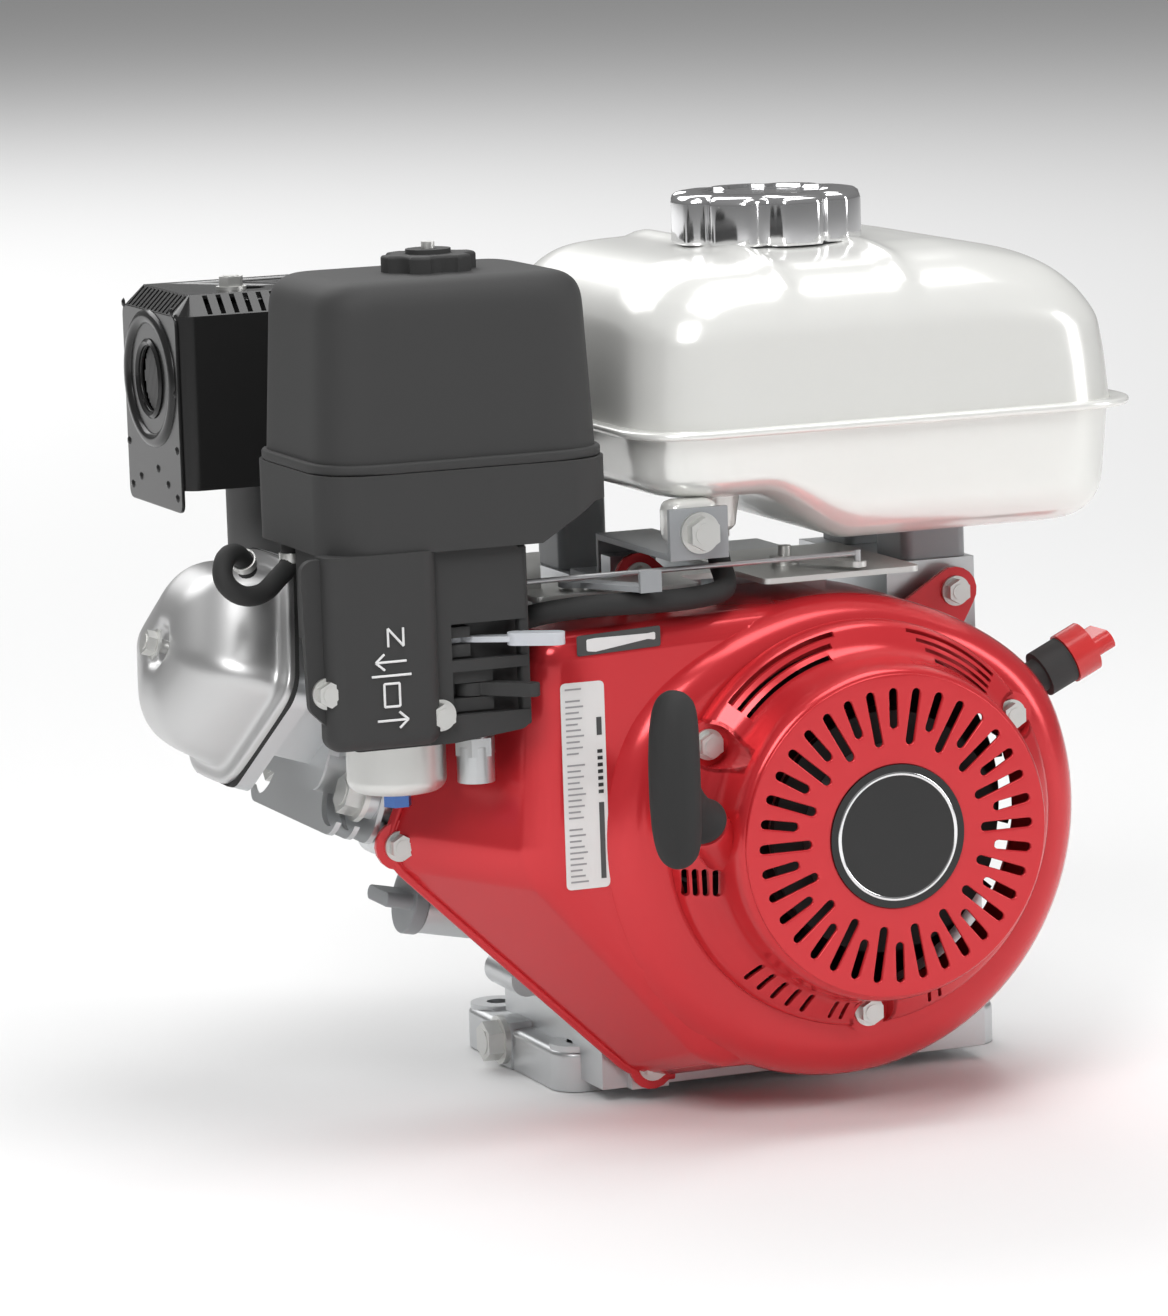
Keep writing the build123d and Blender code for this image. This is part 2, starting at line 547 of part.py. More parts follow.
def ignition_coil():
    """Core and winding over the flywheel's rim, held on two posts off the crankcase."""
    angle = 128.0
    y0, y1 = FLYWHEEL_FRONT + 6, FLYWHEEL_REAR - 2
    core = box(FLYWHEEL_R + 0.6, FLYWHEEL_R + 18, y0, y1, SHAFT_Z - 24, SHAFT_Z - 15)
    core += box(FLYWHEEL_R + 0.6, FLYWHEEL_R + 18, y0, y1, SHAFT_Z + 15, SHAFT_Z + 24)
    core += box(FLYWHEEL_R + 10, FLYWHEEL_R + 18, y0, y1, SHAFT_Z - 24, SHAFT_Z + 24)
    core -= along_y(FLYWHEEL_R + 0.6, y0 - 1, y1 + 1)
    core += box(FLYWHEEL_R + 6, FLYWHEEL_R + 23, y0 - 3, y1 + 3, SHAFT_Z - 12, SHAFT_Z + 12)
    for side in (-1, 1):
        core += along_y(4, y1, CASE_FRONT, FLYWHEEL_R + 14, SHAFT_Z + side * 19.5)
    return [core.rotate(Axis((0, 0, SHAFT_Z), (0, 1, 0)), -angle)]


WING_FRONT = [(-146, 226), (0, 232), (0, 24), (-68, 27), (-150, 116), (-149, 132)]
WING_REAR = [(-154, 231), (0, 234), (0, 17), (-80, 10), (-201, 120), (-199, 140)]


def wing(inset, y_front, y_rear):
    faces = []
    for points, y in ((WING_FRONT, y_front), (WING_REAR, y_rear)):
        face = polygon(points)
        face = offset(face, -inset, kind=Kind.INTERSECTION) if inset else face
        faces.append(facing_front(y) * face)
    return loft(faces)


def scroll(inset, y_front, y_rear):
    drum = along_y(FAN_R - inset, y_front, y_rear, -4, SHAFT_Z - 1)
    top = box(-200, 200, y_front - 1, y_rear + 1, 234 - inset, 300)
    return drum - top


def fan_cover():
    drum = scroll(0, FAN_FRONT, FAN_REAR)
    drum = fillet(drum.faces().sort_by(Axis.Y)[0].edges(), 20)
    shell = drum + wing(0, FAN_FRONT, FAN_REAR)
    shell += front_slab(Pos(EARS[1][0], EARS[1][1]) * Circle(11), FAN_REAR, EAR_Y)
    shell += front_slab(Pos(EARS[2][0], EARS[2][1]) * Circle(11), FAN_REAR, EAR_Y)
    inner = scroll(SHEET, FAN_FRONT + SHEET, FAN_REAR + 1)
    inner = fillet(inner.faces().sort_by(Axis.Y)[0].edges(), 18)
    inner += wing(SHEET, FAN_FRONT + SHEET, FAN_REAR + 1)
    shell -= inner
    for x, z in (EARS[0], EARS[3]):
        shell += along_y(9, EAR_Y, FAN_REAR, x, z)
        shell -= along_y(12, EAR_Y - 40, EAR_Y, x, z)
    shell -= along_y(INLET_R, FAN_FRONT - 1, FAN_FRONT + SHEET + 1)
    for x, z in RECOIL_POINTS:
        shell += along_y(7, FAN_FRONT, FAN_FRONT + 10, x, z)
    shell -= rod(SWITCH_R + DRILL, SWITCH_AT - SWITCH_AXIS * 30, SWITCH_AT + SWITCH_AXIS * 20)
    return [drilled(shell, FAN_BOLTS + RECOIL_BOLTS)]


SWITCH_AXIS = Vector(cos(radians(25)), 0, sin(radians(25)))
SWITCH_AT = Vector(103, -78, 181)
SWITCH_R = 8.0


def switch_barrel():
    barrel = rod(SWITCH_R, SWITCH_AT - SWITCH_AXIS * 14, SWITCH_AT + SWITCH_AXIS * 22)
    barrel += rod(11, SWITCH_AT + SWITCH_AXIS * 8, SWITCH_AT + SWITCH_AXIS * 22)
    return [barrel - rod(4.1, SWITCH_AT + SWITCH_AXIS * 8, SWITCH_AT + SWITCH_AXIS * 23)]


def switch_knob():
    start = SWITCH_AT + SWITCH_AXIS * (22 + GAP)
    knob = rod(12, start, start + SWITCH_AXIS * 12)
    plane = Plane(origin=start + SWITCH_AXIS * 12, x_dir=(0, 1, 0), z_dir=SWITCH_AXIS)
    knob += extrude(plane * SlotOverall(24, 9), 9)
    knob += rod(4.0, start - SWITCH_AXIS * 12, start + SWITCH_AXIS)
    return [knob]


def recoil_profile(inset):
    """Half section of the starter housing, radius against depth."""
    return [(0, RECOIL_FRONT + inset), (64 - inset * 0.5, RECOIL_FRONT + inset),
            (72 - inset, RECOIL_FRONT + 8), (77.5 - inset, FAN_FRONT - 9),
            (77.5 - inset, FAN_FRONT), (0, FAN_FRONT)]


def spun(points):
    """Solid of revolution about the crankshaft's line from (radius, Y) points."""
    plane = Plane(origin=(0, 0, SHAFT_Z), x_dir=(1, 0, 0), z_dir=(0, 0, 1))
    return revolve(plane * polygon(points), Axis((0, 0, SHAFT_Z), (0, 1, 0)), 360)


def recoil_housing():
    shell = spun(recoil_profile(0)) + along_y(RECOIL_R, FAN_FRONT - 5, FAN_FRONT)
    shell -= spun(recoil_profile(2.2)) + along_y(75, FAN_FRONT - 5.5, FAN_FRONT + 1)
    shell += along_y(8, REEL_FRONT + REEL_W + GAP, RECOIL_FRONT + 1)
    shell += rod(10, GUIDE - PULL * 20, GUIDE)
    shell -= rod(ROPE_R + 0.8, GUIDE - PULL * 34, GUIDE + PULL)
    shell -= spun([(0, RECOIL_FRONT + 6), (62, RECOIL_FRONT + 6), (73, RECOIL_FRONT + 12),
                   (76, FAN_FRONT), (9, FAN_FRONT), (9, RECOIL_FRONT + 3), (0, RECOIL_FRONT + 3)]
                  ) & rod(9.5, GUIDE - PULL * 34, GUIDE - PULL * 10)
    shell -= along_y(BADGE_R + 0.3, RECOIL_FRONT - 1, RECOIL_FRONT + 0.9)
    slot = SlotOverall(26, 5.6)
    short = SlotOverall(19, 5.6)
    cuts = Sketch()
    for i in range(18):
        cuts += Rot(0, 0, i * 20) * (Pos(53, 0) * slot)
        cuts += Rot(0, 0, i * 20 + 10) * (Pos(56.5, 0) * short)
    shell -= front_slab(Pos(0, SHAFT_Z) * cuts, RECOIL_FRONT + 3, RECOIL_FRONT - 1)
    return [drilled(shell, RECOIL_BOLTS)]


BADGE_R = 32.0


def badge_disc():
    return [along_y(BADGE_R, RECOIL_FRONT - 0.8, RECOIL_FRONT + 0.9)]


def reel_screw():
    """Screw that holds the reel on the housing's post."""
    return along_y(10, REEL_FRONT + REEL_W + GAP, REEL_FRONT + REEL_W + GAP + 4)


def rewind_spring():
    """Flat spring wound round the reel's post, as its packed coil."""
    return [ring_y(40, 34, -156.5, -148.5) + box(8, 36, -156.5, -155.5, SHAFT_Z - 3, SHAFT_Z + 3)
            - along_y(8.1, -158, -148)]


REEL_FRONT = -147.5


def rope_reel():
    y0, y1 = REEL_FRONT, REEL_FRONT + REEL_W
    reel = along_y(REEL_R, y0, y1) - ring_y(REEL_R + 1, REEL_DRUM_R, y0 + 4, y1 - 4)
    reel -= along_y(8 + SHAFT_FIT, y0 - 1, y1 + 1)
    return [reel]


def wound_rope():
    y0 = REEL_FRONT + 4
    return [ring_y(REEL_DRUM_R + 5.2, REEL_DRUM_R + 0.05, y0 + 0.2, y0 + REEL_W - 8.2)]


def ratchet_pawls():
    y0 = REEL_FRONT + REEL_W
    pieces = []
    for side in (-1, 1):
        pawl = box(12, 33, y0, y0 + 7, SHAFT_Z - 5, SHAFT_Z + 5)
        pieces.append(pawl.rotate(Axis((0, 0, SHAFT_Z), (0, 1, 0)), 90 + side * 90))
    return pieces


def starter_grip():
    neck_end = GUIDE + PULL * GAP
    bar = along_z(GRIP_R, GRIP.X, GRIP.Y, GRIP.Z - GRIP_LENGTH / 2 + GRIP_R,
                  GRIP.Z + GRIP_LENGTH / 2 - GRIP_R)
    for side in (-1, 1):
        z = GRIP.Z + side * (GRIP_LENGTH / 2 - GRIP_R)
        bar += Pos(GRIP.X, GRIP.Y, z) * Sphere(GRIP_R - 0.05)
    length = (GRIP - neck_end).length
    neck = Plane(origin=neck_end + PULL * (length / 2), z_dir=PULL) * Cone(11, 8, length)
    return bar + neck - rod(ROPE_R + 0.05, neck_end - PULL, neck_end + PULL * (length - 4))


def starter_rope():
    return [rod(ROPE_R, GUIDE - PULL * 12, GRIP - PULL * 6)]


# ---------------------------------------------------------------- tank
def tank_face(grow=0.0):
    (x0, x1), (y0, y1) = TANK_X, TANK_Y
    return Pos((x0 + x1) / 2, (y0 + y1) / 2) * RectangleRounded(
        x1 - x0 + 2 * grow, y1 - y0 + 2 * grow, 34 + grow)


def tank_top():
    z0 = TANK_SEAM
    outer = extrude(Plane(origin=(0, 0, z0)) * tank_face(-5), TANK_TOP - z0, taper=5)
    outer = fillet(outer.faces().sort_by(Axis.Z)[-1].edges(), 20)
    inner = extrude(Plane(origin=(0, 0, z0 - 1)) * tank_face(-5 - TANK_WALL),
                    TANK_TOP - z0 + 1 - TANK_WALL, taper=5)
    inner = fillet(inner.faces().sort_by(Axis.Z)[-1].edges(), 18)
    shell = outer + flat_slab(tank_face(), z0, z0 + 1.5) - inner
    shell += along_z(30, CAP_X, CAP_Y, TANK_TOP - 2, TANK_TOP + 10)
    shell -= along_z(26, CAP_X, CAP_Y, TANK_TOP - 20, TANK_TOP + 11)
    return [shell]


def tank_low_profile(inset):
    """Front view of the lower half, with the step over the controls."""
    x0, x1 = TANK_X[0] + 3 + inset, TANK_X[1] - 8 - inset
    return [(x0, TANK_SEAM + 2), (x0, TANK_STEP + inset), (-34 + inset, TANK_STEP + inset),
            (4 + inset, TANK_LOW + inset), (x1 - 12, TANK_LOW + inset), (x1, TANK_LOW + 14),
            (x1, TANK_SEAM + 2)]


def tank_bottom():
    (y0, y1), z1 = TANK_Y, TANK_SEAM
    solid = []
    for inset in (0.0, TANK_WALL):
        block = front_slab(polygon(tank_low_profile(inset)), y1 - 6 - inset, y0 + 6 + inset)
        trim = flat_slab(tank_face(-6 - inset), TANK_LOW - 1, z1 + (3 if inset else 0))
        solid.append(block & trim)
    shell = solid[0] - solid[1] + flat_slab(tank_face() - tank_face(-8), z1 - 1.5, z1)
    shell += box(-82, -58, -108.6, -90, 262, TANK_STEP + 0.5)
    shell += along_z(6, *OUTLET, TANK_STEP - 10, TANK_STEP + 0.5)
    shell -= along_z(3, *OUTLET, TANK_STEP - 11, TANK_STEP + 4)
    return [drilled(shell, SMALL_BOLTS)]


OUTLET = (-48.0, -78.0)


def tank_brackets():
    z0 = 236.0
    path = [(10, z0), (-26, z0), (-26, z0 + 20), (-112, z0 + 20), (-112, z0 + 43), (-109, z0 + 43),
            (-109, z0 + 23), (-23, z0 + 23), (-23, z0 + 3), (10, z0 + 3)]
    plane = Plane(origin=(-84, 0, 0), x_dir=(0, 1, 0), z_dir=(1, 0, 0))
    left = extrude(plane * polygon(path), 28)
    left = drilled(left, SMALL_BOLTS)
    right = box(62, 94, -38, -4, z0, TANK_LOW)
    rear_right = box(62, 94, 26, 58, z0, TANK_LOW)
    rear_left = box(-82, -58, 26, 58, z0, TANK_STEP)
    return [left, fillet(right.edges().filter_by(Axis.Z), 5),
            fillet(rear_right.edges().filter_by(Axis.Z), 5),
            fillet(rear_left.edges().filter_by(Axis.Z), 5)]


def fuel_cap():
    z0 = TANK_TOP + 1.5
    face = Circle(CAP_R)
    for x, y in around(8, CAP_R + 5, 22.5, 0, 0):
        face -= Pos(x, y) * Circle(9)
    cap = flat_slab(Pos(CAP_X, CAP_Y) * face, z0, z0 + 24)
    cap = fillet(cap.faces().sort_by(Axis.Z)[-1].edges(), 2.5)
    cap -= along_z(30 + GAP, CAP_X, CAP_Y, z0 - 1, TANK_TOP + 10 + GAP)
    return [cap]


# ---------------------------------------------------------------- air cleaner
def air_cleaner_case():
    ys, xs = CLEANER_Y, CLEANER_X
    case = rounded(xs, ys, (CLEANER_LOW, CLEANER_SEAM), 22)
    case -= rounded(xs, ys, (CLEANER_LOW + 4, CLEANER_SEAM + 1), 22, grow=-CLEANER_WALL)
    wedge = front_slab(polygon([(-150, CLEANER_LOW - 1), (-100, CLEANER_LOW - 1), (-100, CLEANER_LOW + 16),
                               (-122, CLEANER_LOW + 16)]), -10, -130)
    inner = front_slab(polygon([(-154, CLEANER_LOW + 3), (-122, CLEANER_LOW + 19), (-114, CLEANER_LOW + 19),
                               (-114, CLEANER_LOW + 3)]), ys[1] - 3, ys[0] + 3)
    floor = front_slab(polygon([(-156, CLEANER_LOW + 1), (-122, CLEANER_LOW + 19), (-114, CLEANER_LOW + 19),
                               (-114, CLEANER_LOW + 1)]), ys[1] - 2, ys[0] + 2)
    case += floor & rounded(xs, ys, (CLEANER_LOW, CLEANER_SEAM), 22)
    case -= wedge
    case += flat_slab(Pos(*STUD) * (RectangleRounded(64, 44, 10) - RectangleRounded(56, 36, 8)),
                      CLEANER_LOW + 3.5, CLEANER_LOW + FILTER_RISE)
    case -= box(*DUCT_X, *DUCT_Y, CLEANER_LOW - 1, CLEANER_LOW + 5)
    case -= along_z(3 + DRILL, *STUD, CLEANER_LOW - 1, CLEANER_LOW + 5)
    return [case]


DUCT_X, DUCT_Y = (-232.0, -204.0), (-108.0, -72.0)
STUD = (-176.0, -68.0)
FILTER_RISE = 20.0


def air_cleaner_cover():
    xs, ys, z0 = CLEANER_X, CLEANER_Y, CLEANER_SEAM
    height = CLEANER_TOP - z0
    middle = ((xs[0] + xs[1]) / 2, (ys[0] + ys[1]) / 2)
    width, depth = xs[1] - xs[0], ys[1] - ys[0]
    face = Pos(*middle) * RectangleRounded(width - 4, depth - 4, 21)
    outer = extrude(Plane(origin=(0, 0, z0 + 3)) * face, height - 3, taper=4)
    outer = fillet(outer.faces().sort_by(Axis.Z)[-1].edges(), 10)
    inner_face = Pos(*middle) * RectangleRounded(width - 10, depth - 10, 18)
    inner = extrude(Plane(origin=(0, 0, z0 - 1)) * inner_face, height + 1 - CLEANER_WALL, taper=4)
    cover = outer + rounded(xs, ys, (z0, z0 + 5), 22) - inner
    return [cover - along_z(3 + DRILL, *STUD, CLEANER_TOP - 5, CLEANER_TOP + 1)]


def air_filter():
    face = Pos(*STUD) * (RectangleRounded(92, 70, 16) - RectangleRounded(56, 36, 8))
    return [flat_slab(face, CLEANER_LOW + FILTER_RISE, CLEANER_TOP - 14)]


def cover_stud():
    return [along_z(3, *STUD, CLEANER_LOW - 6, CLEANER_TOP + 13)
            + along_z(6, *STUD, CLEANER_LOW - 6, CLEANER_LOW)]


def cleaner_knob():
    z0 = CLEANER_TOP
    face = Circle(21)
    for x, y in around(6, 25, 30, 0, 0):
        face -= Pos(x, y) * Circle(8)
    knob = flat_slab(Pos(*STUD) * face, z0, z0 + 8)
    knob = fillet(knob.faces().sort_by(Axis.Z)[-1].edges(), 1.5)
    return [knob + along_z(10, *STUD, z0, z0 + 10) - along_z(3 + SHAFT_FIT, *STUD, z0 - 1, z0 + 11)]


# ---------------------------------------------------------------- carburettor and intake
NIPPLE = (-166.0, -86.0, 228.0)


def carburetor():
    body = along_y(17.5, CARB_FRONT, CARB_REAR, CARB_X, CARB_Z)
    body += box(CARB_X - 24, CARB_X + 26, CARB_FRONT + 8, CARB_REAR - 3, CARB_Z - 18, CARB_Z + 20)
    body += box(CARB_X - 25, CARB_X + 25, CARB_REAR - 6, CARB_REAR, CARB_Z - 15, CARB_Z + 15)
    body += rod(4, Vector(*NIPPLE) * 2 - Vector(*FUEL_HOSE[1]), NIPPLE)
    body -= along_y(12, CARB_FRONT - 1, CARB_REAR + 1, CARB_X, CARB_Z)
    body += along_z(5, *THROTTLE, CARB_Z, CARB_Z + 36)
    body -= along_z(2 + SHAFT_FIT, *THROTTLE, CARB_Z + 15, CARB_Z + 37)
    return [body]


BOWL_R = 22.0


def float_bowl():
    top = CARB_Z - 18
    bowl = along_z(BOWL_R, CARB_X, -80, top - 26, top) + along_z(BOWL_R + 1.5, CARB_X, -80, top - 4, top)
    bowl = fillet(bowl.faces().sort_by(Axis.Z)[0].edges(), 6)
    bowl -= along_z(BOWL_R - 2, CARB_X, -80, top - 22, top + 1)
    return [bowl - along_z(3 + DRILL, CARB_X, -80, top - 30, top)]


def bowl_bolt():
    top = CARB_Z - 18
    bolt = along_z(3, CARB_X, -80, top - 26, top - 2)
    return [bolt + hexagon(11, 7, Vector(CARB_X, -80, top - 26), (0, 0, -1))]


def sediment_cup():
    x, y = -172.0, -94.0
    cup = along_z(8.3, x, y, 164, 180) + hexagon(16, 8, Vector(x, y, 176), (0, 0, 1))
    return [cup + along_z(5, x, y, 183, 199)]


def insulator():
    block = box(CARB_X - 25, CARB_X + 25, CARB_REAR, CARB_REAR + 12, CARB_Z - 14, CARB_Z + 14)
    return [block - along_y(12, CARB_REAR - 1, CARB_REAR + 13, CARB_X, CARB_Z)]


def intake_elbow():
    """Black duct from the air cleaner to the carburettor, with its front plate."""
    duct = box(-242, -194, PLATE_Y[1], CARB_FRONT, 189, CLEANER_LOW)
    duct += box(-242, -194, CARB_FRONT, -66, 230, CLEANER_LOW)
    duct -= box(*DUCT_X, *DUCT_Y, 240, CLEANER_LOW + 1)
    duct -= box(*DUCT_X, PLATE_Y[1] + 4, CARB_FRONT - 4, 192, CLEANER_LOW - 10)
    duct -= along_y(12, CARB_FRONT - 6, CARB_FRONT + 1, CARB_X, CARB_Z)
    plate = front_slab(outline(PLATE_OUTLINE, 6), PLATE_Y[1], PLATE_Y[0])
    plate -= box(-190, -100, PLATE_Y[0] - 1, PLATE_Y[1] + 1, 222, 238)
    plate -= box(-190, -100, PLATE_Y[0] - 1, PLATE_Y[1] + 1, 198, 217)
    plate += box(-194, -158, PLATE_Y[1], PLATE_Y[1] + 2, 239, CLEANER_LOW)
    return [drilled(duct + plate + lever_seats(), INTAKE_NUTS)]


PLATE_OUTLINE = [(-258, 271), (-156, 271), (-154, 190), (-190, 186), (-236, 186), (-256, 206)]
INTAKE_NUTS = [Bolt((x, PLATE_Y[0], z), (0, -1, 0), 6, 3.5) for x, z in ((-248, 213), (-196.5, 199))]


def lever(pivot, tip, z0, z1, width, boss):
    """A flat lever from a round boss to a rounded tip."""
    dx, dy = tip[0] - pivot[0], tip[1] - pivot[1]
    length = hypot(dx, dy)
    arm = Rot(0, 0, degrees(atan2(dy, dx))) * (Pos(length / 2, 0) * SlotOverall(length + width, width))
    face = Pos(*pivot) * (arm + Circle(boss))
    return flat_slab(face, z0, z1)


CHOKE, CHOKE_TIP = (-185.0, -104.0), (-146.0, -128.0)
VALVE, VALVE_TIP = (-178.0, -106.0), (-157.0, -127.0)


def choke_lever():
    arm = lever(CHOKE, CHOKE_TIP, 228.5, 231.0, 7, 6)
    grip = lever((-160.0, -119.4), CHOKE_TIP, 227, 232.5, 9, 4.5)
    return [arm + grip + along_z(2, *CHOKE, 226, 234)]


def fuel_valve_lever():
    arm = lever(VALVE, VALVE_TIP, 205, 211, 7, 8)
    return [arm + along_z(3.5, *VALVE, 203, 213)]


def lever_seats():
    """Shelves behind the front plate that the two hand levers turn in."""
    y0, y1 = PLATE_Y[1], CARB_FRONT - 1
    seats = box(-194, -191.5, y0, y1, 195, 238)
    for z0, z1 in ((223, 228.2), (231.3, 236)):
        seats += box(-193, -180, y0, y1, z0, z1)
    seats -= along_z(2 + SHAFT_FIT, *CHOKE, 220, 240)
    for z0, z1 in ((199, 204.7), (211.3, 216.5)):
        seats += box(-193, -170, y0, y1, z0, z1)
    return seats - along_z(3.5 + SHAFT_FIT, *VALVE, 198, 218)


# ---------------------------------------------------------------- controls
PLATE_TOP = 243.5
GOVERNOR = (THROTTLE[0] + ROD_SPAN, THROTTLE[1])
FAR_END = (ROD_END[0] + ROD_SPAN, ROD_END[1])
CONTROL, CONTROL_TIP = (-118.0, -84.0), (-98.0, -118.0)


def control_plate():
    plate = box(-36, 40, -104, -10, PLATE_TOP - 2.5, PLATE_TOP)
    plate += box(-143, -64, -98, -58, PLATE_TOP - 2.5, PLATE_TOP)
    plate += box(-66, -34, -71, -58, PLATE_TOP - 2.5, PLATE_TOP)
    plate = fillet(plate.edges().filter_by(Axis.Z), 4)
    plate += along_z(6, *GOVERNOR, PLATE_TOP - 1, PLATE_TOP + 1.5)
    plate -= along_z(3 + SHAFT_FIT, *GOVERNOR, PLATE_TOP - 4, PLATE_TOP + 3)
    plate += along_z(6, *CONTROL, PLATE_TOP - 1, PLATE_TOP + 1.5)
    plate -= along_z(3 + SHAFT_FIT, *CONTROL, PLATE_TOP - 4, PLATE_TOP + 3)
    plate += box(-142, -130, -72, -69.5, PLATE_TOP - 1, PLATE_TOP + 16)
    return [plate]


def governor_arm():
    z0 = PLATE_TOP + 1.5
    arm = lever(GOVERNOR, FAR_END, z0, z0 + 2.5, 8, 7)
    arm += along_z(3, *GOVERNOR, z0 - 3.4, z0 + 7)
    return [arm - along_z(1.6, *FAR_END, z0 - 1, z0 + 5)]


def governor_rod():
    z = PLATE_TOP + 7.5
    bar = rod(1.2, (ROD_END[0], ROD_END[1], z), (FAR_END[0], FAR_END[1], z))
    for x, y in (ROD_END, FAR_END):
        bar += along_z(1.5, x, y, PLATE_TOP + 1.0, z + 1.5)
    return [bar]


def throttle_lever():
    z0 = PLATE_TOP + 1.5
    arm = lever(THROTTLE, ROD_END, z0, z0 + 2.5, 8, 5.5)
    arm += along_z(2, *THROTTLE, CARB_Z + 16, z0 + 1)
    return [arm - along_z(1.6, *ROD_END, z0 - 1, z0 + 5)]


def control_lever():
    z0 = PLATE_TOP + 1.5
    arm = lever(CONTROL, CONTROL_TIP, z0, z0 + 2.5, 10, 8)
    arm += along_z(3, *CONTROL, z0 - 3.4, z0 + 5)
    arm += box(CONTROL_TIP[0] - 5, CONTROL_TIP[0] + 5, CONTROL_TIP[1] - 5, CONTROL_TIP[1] - 2.5, z0, z0 + 9.5)
    return [arm]


# ---------------------------------------------------------------- exhaust
def muffler_body():
    body = rounded(MUFFLER_X, MUFFLER_Y, MUFFLER_Z, 14, top=12, bottom=12)
    body -= rod(18, (MUFFLER_X[0] - 1, OUTLET_Y, OUTLET_Z), (MUFFLER_X[0] + 16, OUTLET_Y, OUTLET_Z))
    for x in (MUFFLER_X[0] + 30, MUFFLER_X[1] - 30):
        for y in (MUFFLER_Y[0] + 20, MUFFLER_Y[1] - 20):
            body += along_z(5, x, y, MUFFLER_Z[1] - 2, MUFFLER_Z[1] + GUARD_GAP)
    return [drilled(body, MUFFLER_BOLTS)]


OUTLET_Y, OUTLET_Z = 93.0, 331.0
MUFFLER_BOLTS = [Bolt((x, MUFFLER_Y[0] + 20, MUFFLER_Z[1] + GUARD_GAP + GUARD_T), (0, 0, 1), 6, 12)
                 for x in (MUFFLER_X[0] + 30, MUFFLER_X[1] - 30)]


def muffler_guard():
    gap, t = GUARD_GAP, GUARD_T
    (x0, x1), (y0, y1), (z0, z1) = MUFFLER_X, MUFFLER_Y, MUFFLER_Z
    outer = rounded((x0 - gap - t, x1), (y0 - gap - t, y1 + gap + t), (z0 - 4, z1 + gap + t), 8, top=7)
    inner = rounded((x0 - gap, x1 + 1), (y0 - gap, y1 + gap), (z0 - 5, z1 + gap), 7, top=6)
    guard = outer - inner
    guard += box(x0 - gap - t, x0 - gap, y0 - gap - t, y1 + gap + t, z0 - 14, z0 + 4)
    guard -= rod(17, (x0 - 10, OUTLET_Y, OUTLET_Z), (x0, OUTLET_Y, OUTLET_Z))
    for i in range(12):
        x = x0 + 10 + i * 12
        guard -= box(x, x + 3, y0 - 6, y0 + 6, z1 - 4, z1 + 10)
    return [drilled(guard, MUFFLER_BOLTS)]


def exhaust_pipe():
    z, radius = CARB_Z, 13.5
    start = CYL_Y + 50
    pipe = along_y(radius, start, 100, CARB_X, z)
    pipe += Pos(CARB_X, 100, z) * Sphere(radius)
    pipe += along_z(radius, CARB_X, 100, z, MUFFLER_Z[0])
    flange = box(CARB_X - 26, CARB_X + 26, CYL_Y + 65, CYL_Y + 70, z - 19, z + 19)
    return [pipe + fillet(flange.edges().filter_by(Axis.Y), 8)]


# ---------------------------------------------------------------- hoses
def hose(points, radius):
    turns = []
    for a, b, c in zip(points, points[1:], points[2:]):
        into, out = Vector(*b) - Vector(*a), Vector(*c) - Vector(*b)
        turn = radians(into.get_angle(out))
        turns.append(0.45 * min(into.length, out.length) / tan(turn / 2))
    print("hose radii", [round(r, 1) for r in turns])
    path = FilletPolyline(*points, radius=turns)
    start = Plane(origin=path @ 0, z_dir=path % 0)
    tube_solid = sweep(start * Circle(radius), path)
    print("hose volume", round(tube_solid.volume), "expected", round(pi * radius ** 2 * path.length))
    return tube_solid


FUEL_HOSE = [NIPPLE, (-150, -97, 235), (-128, -107, 239), (-105, -111, 239.3), (-82, -111, 238.6),
             (-60, -106, 239.2), (-49, -93, 240.5), (-48, -78, 252), (-48, -78, 270)]
BREATHER = [(-255.8, -40, 258.2), (-262, -50, 268), (-272, -58, 268), (-276, -64, 258), (-268, -66, 250),
            (-256, -62, 250), (-247, -56, 256), (-239, -52, 261), (-239, -52, 271)]
FUEL_R, BREATHER_R = 5.0, 4.5


def fuel_hose():
    return [hose(FUEL_HOSE, FUEL_R)]


def breather_tube():
    return [hose(BREATHER, BREATHER_R)]


def oil_cap():
    start = FILLER_TOP + FILLER_AXIS * GAP
    cap = rod(16, start, start + FILLER_AXIS * 7)
    plane = Plane(origin=start + FILLER_AXIS * 7, x_dir=(0, 1, 0), z_dir=FILLER_AXIS)
    cap += extrude(plane * SlotOverall(28, 7), 13)
    return [cap + rod(FILLER_R - 0.3, start - FILLER_AXIS * 14, start + FILLER_AXIS)]


def flange_bolts():
    groups = (FAN_BOLTS, RECOIL_BOLTS, COVER_BOLTS, HEAD_BOLTS, SMALL_BOLTS, DRAIN_BOLTS, INTAKE_NUTS,
              MUFFLER_BOLTS, [HEAD_COVER_BOLT])
    return [bolt.solid() for group in groups for bolt in group] + [reel_screw()]


# ---------------------------------------------------------------- writing the pieces
def save(node, solids):
    shift = Location((-PATTERN_X, -PATTERN_Y, 0))
    pieces = []
    for piece in solids if isinstance(solids, (list, tuple)) else [solids]:
        pieces += [shift * solid for solid in piece.solids()]
    shape = pieces[0] if len(pieces) == 1 else Compound(children=pieces)
    shape.label = node
    export_step(shape, f"parts/{node}.step")


